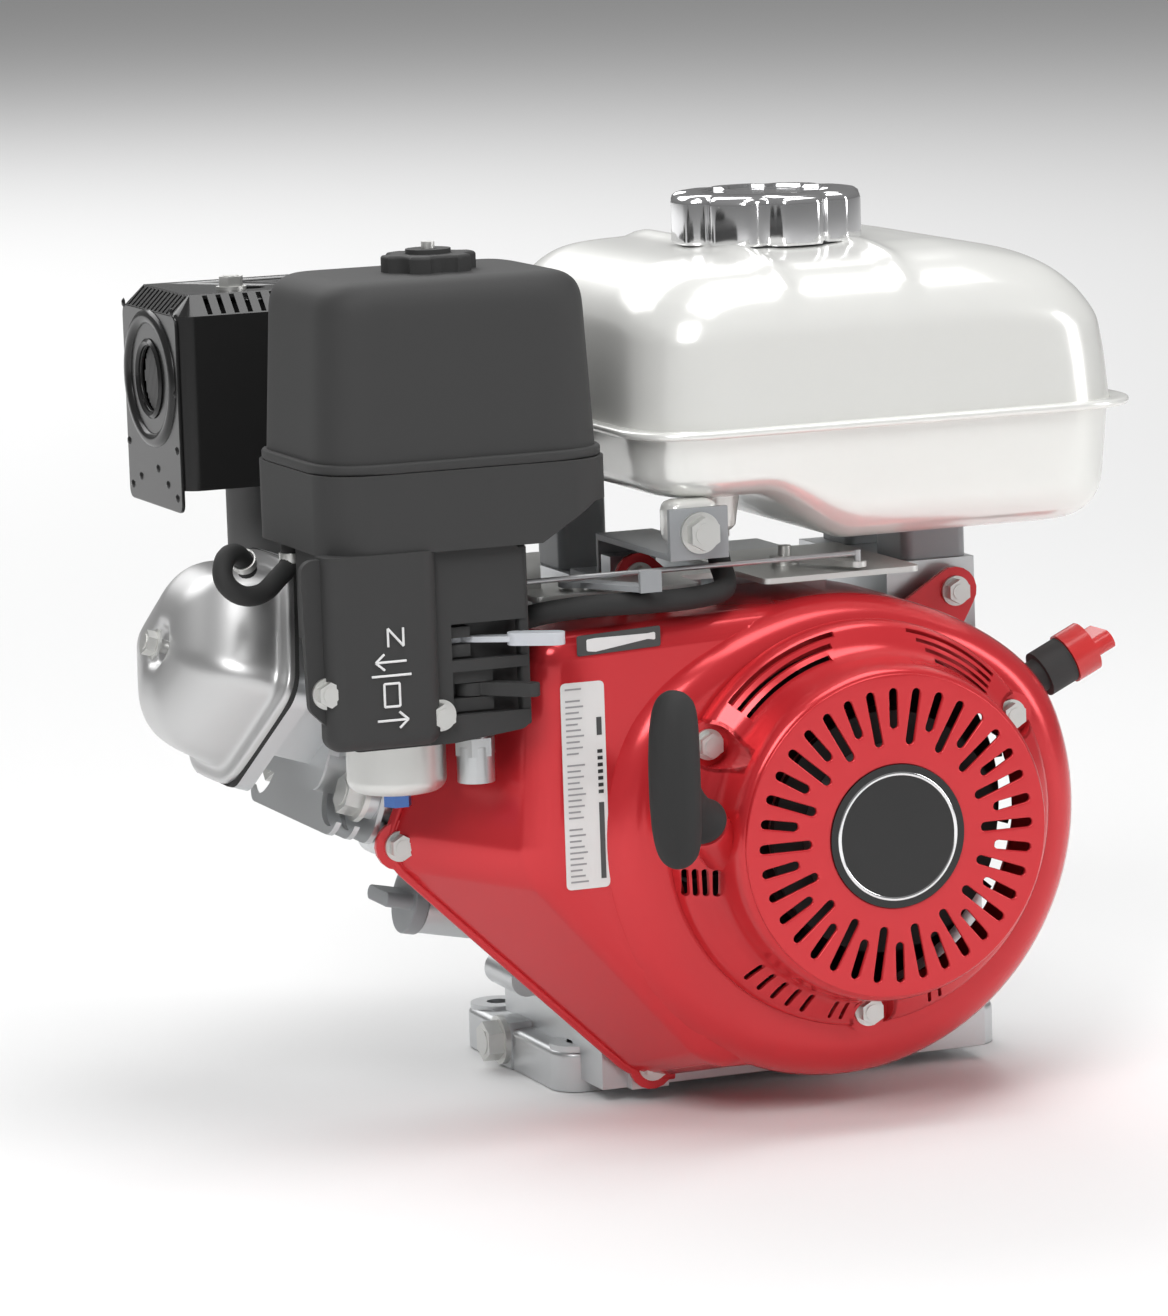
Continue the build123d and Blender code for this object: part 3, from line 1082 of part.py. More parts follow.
def main():
    os.makedirs("parts", exist_ok=True)
    pieces = (
        crankcase, crankcase_cover, bearings_and_seal, crankshaft, camshaft,
        crank_and_wrist_pins, connecting_rod, piston, piston_rings, cylinder_liner,
        cylinder_head, spark_plug, valves_and_springs, head_cover_gasket, head_cover,
        flywheel, cooling_fan, starter_cup, ignition_coil, fan_cover, switch_barrel,
        switch_knob, recoil_housing, badge_disc, rewind_spring, rope_reel, wound_rope,
        ratchet_pawls, starter_grip, starter_rope, tank_top, tank_bottom, tank_brackets,
        fuel_cap, air_cleaner_case, air_cleaner_cover, air_filter, cover_stud,
        cleaner_knob, carburetor, float_bowl, bowl_bolt, sediment_cup, insulator,
        intake_elbow, choke_lever, fuel_valve_lever, control_plate, governor_arm,
        governor_rod, throttle_lever, control_lever, muffler_body, muffler_guard,
        exhaust_pipe, oil_cap, fuel_hose, breather_tube, flange_bolts)
    for make in pieces:
        save(make.__name__, make())


main()
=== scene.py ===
"""Looks of a small horizontal-shaft gasoline engine, modelled round its CAD frame.

Places are in working millimetres: X from the crankshaft's line to the right, Y from the
starter's side towards the output shaft, Z up from the base. at() turns
them into the frame's metres.
"""

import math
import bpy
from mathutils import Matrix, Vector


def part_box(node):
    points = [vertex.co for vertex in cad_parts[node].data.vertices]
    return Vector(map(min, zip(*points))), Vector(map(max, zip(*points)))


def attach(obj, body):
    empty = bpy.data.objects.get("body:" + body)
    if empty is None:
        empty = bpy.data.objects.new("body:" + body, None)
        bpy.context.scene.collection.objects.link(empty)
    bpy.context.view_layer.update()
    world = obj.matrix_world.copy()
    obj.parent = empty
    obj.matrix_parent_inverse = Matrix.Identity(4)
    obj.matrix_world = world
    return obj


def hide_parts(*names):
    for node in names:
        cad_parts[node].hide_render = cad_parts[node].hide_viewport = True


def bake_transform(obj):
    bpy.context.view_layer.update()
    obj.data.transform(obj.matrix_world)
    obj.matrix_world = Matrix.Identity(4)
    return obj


bl_info = {
    "name": "Small Engine Looks",
    "version": (1, 0, 0),
    "blender": (4, 5, 0),
    "location": "3D View > Sidebar > Engine",
    "description": "Covers, tank, air cleaner, trim and finishes of a small gasoline engine",
    "category": "Object",
}

from contextlib import contextmanager

import bmesh
import bpy
from bpy.props import FloatProperty, FloatVectorProperty, IntProperty, PointerProperty
from mathutils import Matrix, Vector

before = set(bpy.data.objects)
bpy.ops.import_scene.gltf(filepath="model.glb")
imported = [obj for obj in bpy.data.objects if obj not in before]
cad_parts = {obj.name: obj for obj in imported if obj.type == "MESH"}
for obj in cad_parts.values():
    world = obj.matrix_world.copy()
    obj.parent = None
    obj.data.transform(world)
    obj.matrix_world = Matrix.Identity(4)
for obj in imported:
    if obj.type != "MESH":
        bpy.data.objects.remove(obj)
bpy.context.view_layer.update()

MM = 0.001
Y_AXIS, Z_AXIS = 1, 2
WELD, NEAR = 1e-6, 1e-5     # metres: vertices that are one, faces that share a plane
STARTER_FRONT = -160.0      # front of the starter housing in working millimetres
_wheel_low, _wheel_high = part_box("flywheel")
ORIGIN = Vector(((_wheel_low.x + _wheel_high.x) / 2,
                 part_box("recoil_housing")[0].y - STARTER_FRONT * MM, 0))
SHAFT_Z = (_wheel_low.z + _wheel_high.z) / 2 / MM


def at(x, y, z):
    return ORIGIN + Vector((x, y, z)) * MM


def working_box(node):
    """A CAD node's box in working millimetres."""
    low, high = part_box(node)
    return (low - ORIGIN) / MM, (high - ORIGIN) / MM


# ---------------------------------------------------------------- sizes and colours
def length_property(name, text, millimetres):
    return FloatProperty(name=name, description=text, default=millimetres * MM, min=0.0,
                         unit="LENGTH", precision=4)


def colour_property(name, text, value):
    return FloatVectorProperty(name=name, description=text, default=value, size=3, min=0.0,
                               max=1.0, subtype="COLOR")


class EngineSizes(bpy.types.PropertyGroup):
    sheet_wall: length_property("Sheet wall", "Thickness of the red pressed covers", 2.0)
    scroll_edge: length_property("Scroll edge", "Radius of the fan cover's round front edge", 20)
    panel_drop: length_property("Panel drop", "How far the side panel lies behind the drum", 9)
    panel_edge: length_property("Panel edge", "Radius round the side panel's front", 11)
    slot_width: length_property("Slot width", "Width of the starter housing's slots", 5.4)
    slot_count: IntProperty(name="Slots", description="Slots round the starter housing",
                            default=36, min=8, max=72)
    tank_wall: length_property("Tank wall", "Thickness of the tank's pressed halves", 1.5)
    tank_rim: length_property("Tank shoulder", "Radius of the tank's upper edges", 30)
    ridge_height: length_property("Tank ridges", "Height of the pressed ridges by the cap", 2.6)
    cleaner_rim: length_property("Cleaner edge", "Radius of the air cleaner's upper edges", 13)
    guard_chamfer: length_property("Guard chamfer", "Width of the muffler guard's chamfer", 9)
    grip_radius: length_property("Grip radius", "Thickness of the starter grip's bar", 11.5)
    rope_radius: length_property("Rope radius", "Radius of the starter rope", 2.5)


class EngineColours(bpy.types.PropertyGroup):
    red: colour_property("Red enamel", "Fan cover and starter housing", (0.56, 0.012, 0.022))
    tank: colour_property("Tank enamel", "Fuel tank", (0.83, 0.82, 0.79))
    plastic: colour_property("Black plastic", "Air cleaner and intake", (0.007, 0.0067, 0.0067))
    rubber: colour_property("Black rubber", "Hoses and starter grip", (0.006, 0.0057, 0.0057))
    grey: colour_property("Grey plastic", "Oil cap and throttle lever", (0.2, 0.2, 0.2))
    pale: colour_property("Pale plastic", "Choke lever's grip", (0.62, 0.64, 0.68))
    enamel: colour_property("Black enamel", "Muffler and its guard", (0.012, 0.012, 0.013))
    alloy: colour_property("Cast alloy", "Crankcase, head and base", (0.6, 0.6, 0.59))
    marks: colour_property("Marks", "Pale printed marks", (0.8, 0.8, 0.8))


def sizes():
    return bpy.context.scene.engine_sizes


def colours():
    return bpy.context.scene.engine_colours


# ---------------------------------------------------------------- modelling helpers
def only(obj):
    """Leave edit mode and make this the one object that operators act on."""
    if bpy.context.mode != "OBJECT":
        bpy.ops.object.mode_set(mode="OBJECT")
    bpy.ops.object.select_all(action="DESELECT")
    obj.select_set(True)
    bpy.context.view_layer.objects.active = obj


@contextmanager
def editing(obj):
    only(obj)
    bpy.ops.object.mode_set(mode="EDIT")
    bpy.ops.mesh.select_mode(type="VERT")
    bpy.ops.mesh.select_all(action="DESELECT")
    yield
    bpy.ops.object.mode_set(mode="OBJECT")


def choose(obj, kind, test):
    """In edit mode, select the vertices, edges or faces that pass a test."""
    bpy.ops.mesh.select_mode(type=kind)
    bpy.ops.mesh.select_all(action="DESELECT")
    mesh = bmesh.from_edit_mesh(obj.data)
    items = {"VERT": mesh.verts, "EDGE": mesh.edges, "FACE": mesh.faces}[kind]
    for item in items:
        if test(item):
            item.select_set(True)
    mesh.select_flush_mode()
    bmesh.update_edit_mesh(obj.data)


def on_level(axis, level):
    """Test for an edge that lies in the plane where that axis has that value."""
    return lambda edge: all(abs(v.co[axis] - level) < WELD for v in edge.verts)


def facing_level(axis, level):
    """Test for a face whose middle lies in that plane."""
    return lambda face: abs(face.calc_center_median()[axis] - level) < NEAR


def take_all():
    bpy.ops.mesh.select_all(action="SELECT")


def bevel(width, segments, clamp=False):
    bpy.ops.mesh.bevel(offset=width, segments=segments, affect="EDGES", clamp_overlap=clamp)


def extrude(move):
    bpy.ops.mesh.extrude_region_move(TRANSFORM_OT_translate={"value": move})


def turn_outwards(weld=True):
    """In edit mode, weld doubled vertices and make every face look outwards."""
    take_all()
    if weld:
        bpy.ops.mesh.remove_doubles(threshold=WELD)
        take_all()
    bpy.ops.mesh.normals_make_consistent(inside=False)


def new_object(name, data):
    obj = bpy.data.objects.new(name, data)
    bpy.context.scene.collection.objects.link(obj)
    return obj


def paint(obj, finish):
    obj.data.materials.clear()
    obj.data.materials.append(bpy.data.materials[finish])


def middle(edge):
    return (edge.verts[0].co + edge.verts[1].co) / 2


def direction(edge):
    return (edge.verts[1].co - edge.verts[0].co).normalized()


def primitive(name, kind, **options):
    """A primitive of that kind, deselected from all else, with its place in its mesh."""
    if bpy.context.mode != "OBJECT":
        bpy.ops.object.mode_set(mode="OBJECT")
    bpy.ops.object.select_all(action="DESELECT")
    getattr(bpy.ops.mesh, f"primitive_{kind}_add")(**options)
    obj = bpy.context.object
    obj.name = name
    bpy.ops.object.transform_apply(location=True, rotation=True, scale=True)
    return obj


def block(name, x_range, y_range, z_range):
    low, high = at(x_range[0], y_range[0], z_range[0]), at(x_range[1], y_range[1], z_range[1])
    return primitive(name, "cube", size=1, location=(low + high) / 2, scale=high - low)


def bar(name, radius, start, end, sides=48):
    """A round bar between two points in working millimetres."""
    a, b = at(*start), at(*end)
    turn = (b - a).to_track_quat("Z", "Y").to_euler()
    return primitive(name, "cylinder", vertices=sides, radius=radius * MM,
                     depth=(b - a).length, location=(a + b) / 2, rotation=turn)


def chain(name, points):
    """A chain of edges drawn from one vertex, each point extruded from the last."""
    obj = primitive(name, "plane", size=MM, location=points[0])
    with editing(obj):
        take_all()
        bpy.ops.mesh.merge(type="CENTER")
        for before, after in zip(points, points[1:]):
            bpy.ops.mesh.extrude_vertices_move(TRANSFORM_OT_translate={"value": after - before})
    return obj


def face_of(name, points):
    obj = chain(name, points)
    with editing(obj):
        take_all()
        bpy.ops.mesh.edge_face_add()
    return obj


def prism(name, points, move):
    """A closed outline, filled and extruded by a vector."""
    obj = face_of(name, points)
    with editing(obj):
        take_all()
        extrude(move)
    point_outwards(obj)
    return obj


def front_prism(name, points, y_front, y_rear):
    """An outline in X and Z, extruded from one Y to another."""
    return prism(name, [at(x, y_front, z) for x, z in points], Vector((0, y_rear - y_front, 0)) * MM)


def turned(name, profile, origin, axis, steps=96, closed=False):
    """A shape spun round an axis from (radius, height) points in millimetres."""
    axis = Vector(axis).normalized()
    side = axis.orthogonal().normalized()
    points = [origin + (side * r + axis * h) * MM for r, h in profile]
    obj = chain(name, points + points[:1] if closed else points)
    with editing(obj):
        take_all()
        bpy.ops.mesh.spin(steps=steps, angle=2 * math.pi, center=origin, axis=axis)
        turn_outwards()
    return obj


def shaft_turned(name, profile, steps=128, closed=False):
    """A shape spun round the crankshaft's line from (radius, Y) points."""
    return turned(name, profile, at(0, 0, SHAFT_Z), (0, 1, 0), steps, closed)


def point_outwards(obj):
    with editing(obj):
        turn_outwards()


def apply_modifier(obj, kind, **settings):
    only(obj)
    bpy.ops.object.modifier_add(type=kind)
    modifier = obj.modifiers[-1]
    for key, value in settings.items():
        setattr(modifier, key, value)
    bpy.ops.object.modifier_apply(modifier=modifier.name)


def carve(obj, cutter, operation="DIFFERENCE"):
    """Cut one closed shape out of another, or join them with UNION."""
    apply_modifier(obj, "BOOLEAN", operation=operation, object=cutter, solver="EXACT")
    bpy.data.objects.remove(cutter)
    return obj


def together(name, *objects):
    """One object from several, each left as its own closed shell."""
    only(objects[0])
    for obj in objects[1:]:
        obj.select_set(True)
    bpy.ops.object.join()
    objects[0].name = name
    return objects[0]


def soften(obj, width, segments=2, angle=35):
    apply_modifier(obj, "BEVEL", width=width * MM, segments=segments, limit_method="ANGLE",
                   angle_limit=math.radians(angle), harden_normals=False)


def thicken(obj, wall):
    """Give an open shell a wall, on its inner side."""
    apply_modifier(obj, "SOLIDIFY", thickness=wall * MM, offset=-1.0)


def reshape(obj, rule):
    """Move each vertex by a rule in working millimetres."""
    for vertex in obj.data.vertices:
        x, y, z = (vertex.co - ORIGIN) / MM
        vertex.co = at(*rule(x, y, z))
    obj.data.update()


def smooth_step(value, start, end):
    t = max(0.0, min(1.0, (value - start) / (end - start)))
    return t * t * (3 - 2 * t)


def pressed_block(name, x_range, y_range, z_range, corner, rim, taper=0.0, cuts=20, levels=2):
    """A block cut into a grid whose upright corners and far rim are pressed round.

    z_range runs from the open side to the pressed one; the open side's faces are removed.
    """
    (x0, x1), (y0, y1), (z0, z1) = x_range, y_range, z_range
    half_x, half_y, height = (x1 - x0) / 2, (y1 - y0) / 2, abs(z1 - z0)
    mid_x, mid_y, way = (x0 + x1) / 2, (y0 + y1) / 2, 1 if z1 > z0 else -1
    obj = block(name, x_range, y_range, sorted(z_range))
    with editing(obj):
        take_all()
        bpy.ops.mesh.subdivide(number_cuts=cuts)
        limit = at(0, 0, z0).z
        choose(obj, "FACE", facing_level(Z_AXIS, limit))
        bpy.ops.mesh.delete(type="FACE")

    def press(x, y, z):
        u, v, w = x - mid_x, y - mid_y, (z - z0) * way
        near_u = max(-(half_x - corner), min(half_x - corner, u))
        near_v = max(-(half_y - corner), min(half_y - corner, v))
        out = Vector((u - near_u, v - near_v))
        if out.length > 1e-6:
            reach = max(abs(out.x), abs(out.y))
            out.normalize()
            beyond = reach - (corner - rim)
            above = w - (height - rim)
            if beyond > 0 and above > 0:
                scale = max(beyond, above) / math.hypot(beyond, above)
                reach = corner - rim + beyond * scale
                w = height - rim + above * scale
            u, v = near_u + out.x * reach, near_v + out.y * reach
        shrink = 1 - taper * w / height
        return mid_x + u * shrink, mid_y + v * shrink, z0 + way * w

    reshape(obj, press)
    apply_modifier(obj, "SUBSURF", levels=levels, render_levels=levels)
    return obj


def circle_points(radius, count=96, x=0.0, z=0.0):
    turns = [2 * math.pi * i / count for i in range(count)]
    return [(x + radius * math.cos(a), z + radius * math.sin(a)) for a in turns]


def slot_points(length, width, radius, angle, steps=6, lean=None):
    """A slot's outline: its centre at a radius and angle, its length along the radius or lean."""
    along = math.radians(angle if lean is None else lean)
    cx, cz = radius * math.cos(math.radians(angle)), radius * math.sin(math.radians(angle))
    half, r = (length - width) / 2, width / 2
    points = []
    for side, start in ((1, -90), (-1, 90)):
        for i in range(steps + 1):
            a = math.radians(start + 180 * i / steps)
            u, v = side * half + r * math.cos(a), r * math.sin(a)
            points.append((cx + u * math.cos(along) - v * math.sin(along),
                           cz + u * math.sin(along) + v * math.cos(along)))
    return points


def arc_slot(radius, width, start, end, steps=14):
    """Outline of a slot that follows an arc."""
    angles = [math.radians(start + (end - start) * i / steps) for i in range(steps + 1)]
    outer = [((radius + width / 2) * math.cos(a), (radius + width / 2) * math.sin(a)) for a in angles]
    inner = [((radius - width / 2) * math.cos(a), (radius - width / 2) * math.sin(a)) for a in angles]
    return outer + inner[::-1]


def rectangle(width, depth):
    x, y = width / 2, depth / 2
    return [(-x, -y), (x, -y), (x, y), (-x, y)]


def soft_corners(points, radius, steps=5):
    """An outline with its corners rounded."""
    result = []
    for before, here, after in zip(points[-1:] + points[:-1], points, points[1:] + points[:1]):
        p, a, b = Vector(here), Vector(before), Vector(after)
        start = p + (a - p).normalized() * min(radius, (a - p).length * 0.45)
        end = p + (b - p).normalized() * min(radius, (b - p).length * 0.45)
        for i in range(steps + 1):
            t = i / steps
            q = start * (1 - t) ** 2 + p * 2 * t * (1 - t) + end * t ** 2
            result.append((q.x, q.y))
    return result


def plate(name, outline, holes, thickness, roundness, place):
    """A flat filled curve with holes and rounded edges, made a mesh and then laid in place."""
    data = bpy.data.curves.new(name, "CURVE")
    data.dimensions, data.fill_mode = "2D", "BOTH"
    data.extrude = (thickness / 2 - roundness) * MM
    data.bevel_depth, data.bevel_resolution = roundness * MM, 2
    for loop in [outline, *holes]:
        spline = data.splines.new("POLY")
        spline.points.add(len(loop) - 1)
        for point, (x, y) in zip(spline.points, loop):
            point.co = (x * MM, y * MM, 0, 1)
        spline.use_cyclic_u = True
    obj = new_object(name, data)
    only(obj)
    bpy.ops.object.convert(target="MESH")
    obj = bpy.context.object
    obj.data.transform(place)
    point_outwards(obj)
    return obj


def facing_front(y, x=0.0, z=0.0):
    """Places a flat shape so that its X is X, its Y is Z and it looks at the starter side."""
    return Matrix.Translation(at(x, y, z)) @ Matrix.Rotation(math.radians(90), 4, "X")


def facing_left(x, y, z):
    """Places a flat shape so that it looks along -X, its X along -Y and its Y up."""
    turn = Matrix(((0, 0, -1, 0), (-1, 0, 0, 0), (0, 1, 0, 0), (0, 0, 0, 1)))
    return Matrix.Translation(at(x, y, z)) @ turn


def copy_of(node, name):
    """A merged copy of a CAD node's mesh, with its flat faces whole again."""
    obj = new_object(name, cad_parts[node].data.copy())
    only(obj)
    bpy.ops.mesh.customdata_custom_splitnormals_clear()
    with editing(obj):
        take_all()
        bpy.ops.mesh.remove_doubles(threshold=2e-6)
        take_all()
        bpy.ops.mesh.dissolve_limited(angle_limit=math.radians(0.5))
    return obj


def tube_along(name, points, radius, order=3, resolution=10, sides=6):
    """A round NURBS curve through the route of a hose, in working millimetres."""
    data = bpy.data.curves.new(name, "CURVE")
    data.dimensions = "3D"
    data.bevel_depth, data.bevel_resolution, data.use_fill_caps = radius * MM, sides, True
    data.resolution_u = resolution
    spline = data.splines.new("NURBS")
    spline.points.add(len(points) - 1)
    for point, place in zip(spline.points, points):
        point.co = (*at(*place), 1)
    spline.order_u = order
    spline.use_endpoint_u = True
    return new_object(name, data)


def as_mesh(obj):
    only(obj)
    bpy.ops.object.convert(target="MESH")
    return bpy.context.object


def finished(obj, name, finish, body="engine", slot=None, replaces=(), angle=35, weighted=True):
    """Smooth, paint and hang a piece on its CAD body; the slot argument is not used."""
    slot = slot or finish
    only(obj)
    bpy.ops.object.shade_smooth_by_angle(angle=math.radians(angle))
    if weighted:
        apply_modifier(obj, "WEIGHTED_NORMAL", keep_sharp=True, weight=60)
    obj.name = name
    obj.data.name = name
    paint(obj, finish)
    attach(obj, body)
    if replaces:
        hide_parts(*replaces)
    return obj


# ---------------------------------------------------------------- shader groups
def new_group(name, inputs, outputs):
    group = bpy.data.node_groups.new(name, "ShaderNodeTree")
    for label, kind, value in inputs:
        socket = group.interface.new_socket(name=label, in_out="INPUT", socket_type=kind)
        socket.default_value = value
    for label, kind in outputs:
        group.interface.new_socket(name=label, in_out="OUTPUT", socket_type=kind)
    start = group.nodes.new("NodeGroupInput")
    end = group.nodes.new("NodeGroupOutput")
    return group, start, end


def wire(tree, source, target):
    tree.links.new(source, target)


def mix_node(tree, kind="RGBA"):
    node = tree.nodes.new("ShaderNodeMix")
    node.data_type = kind
    return node


def object_coordinates(tree):
    return tree.nodes.new("ShaderNodeTexCoord").outputs["Object"]


def noise(tree, scale, detail=3.0, roughness=0.5):
    node = tree.nodes.new("ShaderNodeTexNoise")
    node.inputs["Scale"].default_value = scale
    node.inputs["Detail"].default_value = detail
    node.inputs["Roughness"].default_value = roughness
    wire(tree, object_coordinates(tree), node.inputs["Vector"])
    return node


def calculate(tree, operation, first, second):
    """A Math node; each term is a socket or a number."""
    node = tree.nodes.new("ShaderNodeMath")
    node.operation = operation
    for socket, term in zip(node.inputs, (first, second)):
        if isinstance(term, (int, float)):
            socket.default_value = term
        else:
            wire(tree, term, socket)
    return node.outputs[0]


def build_grain_group():
    """Height of a fine moulded or cast grain, from two sizes of noise."""
    group, start, end = new_group("moulded_grain", [
        ("Scale", "NodeSocketFloat", 900.0), ("Coarse share", "NodeSocketFloat", 0.4)],
        [("Height", "NodeSocketFloat")])
    fine = noise(group, 900.0, 4.0, 0.6)
    wire(group, start.outputs["Scale"], fine.inputs["Scale"])
    coarse = noise(group, 120.0, 3.0)
    wire(group, calculate(group, "MULTIPLY", start.outputs["Scale"], 0.17), coarse.inputs["Scale"])
    part = calculate(group, "MULTIPLY", coarse.outputs["Fac"], start.outputs["Coarse share"])
    wire(group, calculate(group, "ADD", fine.outputs["Fac"], part), end.inputs["Height"])
    return group


def build_dust_group():
    """Colour with a little dust on faces that look up, and the dust's mask."""
    group, start, end = new_group("settled_dust", [
        ("Color", "NodeSocketColor", (0.5, 0.5, 0.5, 1)),
        ("Dust", "NodeSocketColor", (0.5, 0.47, 0.42, 1)),
        ("Amount", "NodeSocketFloat", 0.1)],
        [("Color", "NodeSocketColor"), ("Mask", "NodeSocketFloat")])
    geometry = group.nodes.new("ShaderNodeNewGeometry")
    split = group.nodes.new("ShaderNodeSeparateXYZ")
    wire(group, geometry.outputs["Normal"], split.inputs[0])
    upward = calculate(group, "MAXIMUM", split.outputs["Z"], 0.12)
    patches = group.nodes.new("ShaderNodeMapRange")
    wire(group, noise(group, 38.0, 6.0, 0.65).outputs["Fac"], patches.inputs["Value"])
    patches.inputs["From Min"].default_value = 0.42
    patches.inputs["From Max"].default_value = 0.75
    mask = calculate(group, "MULTIPLY", upward, patches.outputs["Result"])
    mask = calculate(group, "MULTIPLY", mask, start.outputs["Amount"])
    blend = mix_node(group)
    wire(group, mask, blend.inputs["Factor"])
    wire(group, start.outputs["Color"], blend.inputs[6])
    wire(group, start.outputs["Dust"], blend.inputs[7])
    wire(group, blend.outputs[2], end.inputs["Color"])
    wire(group, mask, end.inputs["Mask"])
    return group


def build_tone_group():
    """A colour that drifts between two tones, and a roughness that drifts with it."""
    group, start, end = new_group("drifting_tone", [
        ("Color", "NodeSocketColor", (0.5, 0.5, 0.5, 1)), ("Depth", "NodeSocketFloat", 0.15),
        ("Scale", "NodeSocketFloat", 25.0), ("Roughness low", "NodeSocketFloat", 0.2),
        ("Roughness high", "NodeSocketFloat", 0.3)],
        [("Color", "NodeSocketColor"), ("Roughness", "NodeSocketFloat")])
    cloud = noise(group, 25.0, 5.0, 0.6)
    wire(group, start.outputs["Scale"], cloud.inputs["Scale"])
    darker = group.nodes.new("ShaderNodeHueSaturation")
    wire(group, start.outputs["Color"], darker.inputs["Color"])
    loss = calculate(group, "MULTIPLY", cloud.outputs["Fac"], start.outputs["Depth"])
    wire(group, calculate(group, "SUBTRACT", 1.0, loss), darker.inputs["Value"])
    wire(group, darker.outputs["Color"], end.inputs["Color"])
    spread = group.nodes.new("ShaderNodeMapRange")
    wire(group, cloud.outputs["Fac"], spread.inputs["Value"])
    spread.inputs["From Min"].default_value = 0.3
    spread.inputs["From Max"].default_value = 0.7
    wire(group, start.outputs["Roughness low"], spread.inputs["To Min"])
    wire(group, start.outputs["Roughness high"], spread.inputs["To Max"])
    wire(group, spread.outputs["Result"], end.inputs["Roughness"])
    return group


def place_group(tree, name, **values):
    node = tree.nodes.new("ShaderNodeGroup")
    node.node_tree = bpy.data.node_groups[name]
    for label, value in values.items():
        node.inputs[label.replace("_", " ")].default_value = value
    return node


def new_finish(name, colour, rough, depth=0.12, scale=25.0, dust=0.06, **settings):
    """A material with drifting tone, settled dust and the given plain shader settings."""
    material = bpy.data.materials.new(name)
    material.use_nodes = True
    tree = material.node_tree
    shader = tree.nodes["Principled BSDF"]
    tone = place_group(tree, "drifting_tone", Depth=depth, Scale=scale,
                       Roughness_low=rough[0], Roughness_high=rough[1])
    tone.inputs["Color"].default_value = (*colour, 1)
    dusty = place_group(tree, "settled_dust", Amount=dust)
    wire(tree, tone.outputs["Color"], dusty.inputs["Color"])
    wire(tree, dusty.outputs["Color"], shader.inputs["Base Color"])
    roughness = calculate(tree, "ADD", tone.outputs["Roughness"],
                          calculate(tree, "MULTIPLY", dusty.outputs["Mask"], 0.5))
    wire(tree, roughness, shader.inputs["Roughness"])
    for label, value in settings.items():
        shader.inputs[label.replace("_", " ")].default_value = value
    return material, tree, shader


def add_grain(tree, shader, scale, strength, distance=0.1, share=0.4, height=None):
    """A bump from the grain group, or from a height socket of the material's own."""
    if height is None:
        height = place_group(tree, "moulded_grain", Scale=scale, Coarse_share=share).outputs["Height"]
    bump = tree.nodes.new("ShaderNodeBump")
    bump.inputs["Strength"].default_value = strength
    bump.inputs["Distance"].default_value = distance * MM
    wire(tree, height, bump.inputs["Height"])
    wire(tree, bump.outputs["Normal"], shader.inputs["Normal"])
    return bump


def enamel(name, colour, peel=0.05, rough=(0.22, 0.3), dust=0.05, coat=0.8):
    material, tree, shader = new_finish(name, colour, rough, depth=0.08, scale=14, dust=dust,
                                        Coat_Weight=coat, Coat_Roughness=0.06, Coat_IOR=1.5)
    add_grain(tree, shader, 420.0, peel, 0.08, 1.2)


def moulded(name, colour, rough=(0.42, 0.55), grain=0.25, scale=1500.0, dust=0.03, distance=0.1):
    material, tree, shader = new_finish(name, colour, rough, depth=0.15, scale=30, dust=dust,
                                        Specular_IOR_Level=0.3)
    add_grain(tree, shader, scale, grain, distance)


def bright_metal(name, colour, rough=(0.12, 0.22), grain=0.03, scale=700.0, depth=0.1, dust=0.04,
                 distance=0.1):
    material, tree, shader = new_finish(name, colour, rough, depth=depth, scale=45, dust=dust,
                                        Metallic=1.0)
    add_grain(tree, shader, scale, grain, distance)


def cast_metal(name, colour, rough=(0.38, 0.55)):
    """Sand-cast alloy: pitted skin with darker hollows."""
    material, tree, shader = new_finish(name, colour, rough, depth=0.3, scale=60, dust=0.25,
                                        Metallic=0.9)
    pits = tree.nodes.new("ShaderNodeTexVoronoi")
    pits.inputs["Scale"].default_value = 650.0
    wire(tree, object_coordinates(tree), pits.inputs["Vector"])
    skin = place_group(tree, "moulded_grain", Scale=700.0, Coarse_share=1.0)
    height = calculate(tree, "ADD", skin.outputs["Height"],
                       calculate(tree, "MULTIPLY", pits.outputs["Distance"], 0.5))
    add_grain(tree, shader, 0, 0.45, 0.35, height=height)


def pleated_paper(name, colour):
    material, tree, shader = new_finish(name, colour, (0.8, 0.9), depth=0.2, scale=80, dust=0.1)
    wave = tree.nodes.new("ShaderNodeTexWave")
    wave.inputs["Scale"].default_value = 160.0
    wire(tree, object_coordinates(tree), wave.inputs["Vector"])
    add_grain(tree, shader, 0, 0.8, 1.0, height=wave.outputs["Fac"])


def laid_rope(name, colour):
    """Twisted cord: bands across the rope's own length."""
    material, tree, shader = new_finish(name, colour, (0.7, 0.85), depth=0.3, scale=300, dust=0.05)
    wave = tree.nodes.new("ShaderNodeTexWave")
    wave.bands_direction = "DIAGONAL"
    wave.inputs["Scale"].default_value = 260.0
    wave.inputs["Distortion"].default_value = 0.6
    wire(tree, object_coordinates(tree), wave.inputs["Vector"])
    add_grain(tree, shader, 0, 0.7, 0.4, height=wave.outputs["Fac"])


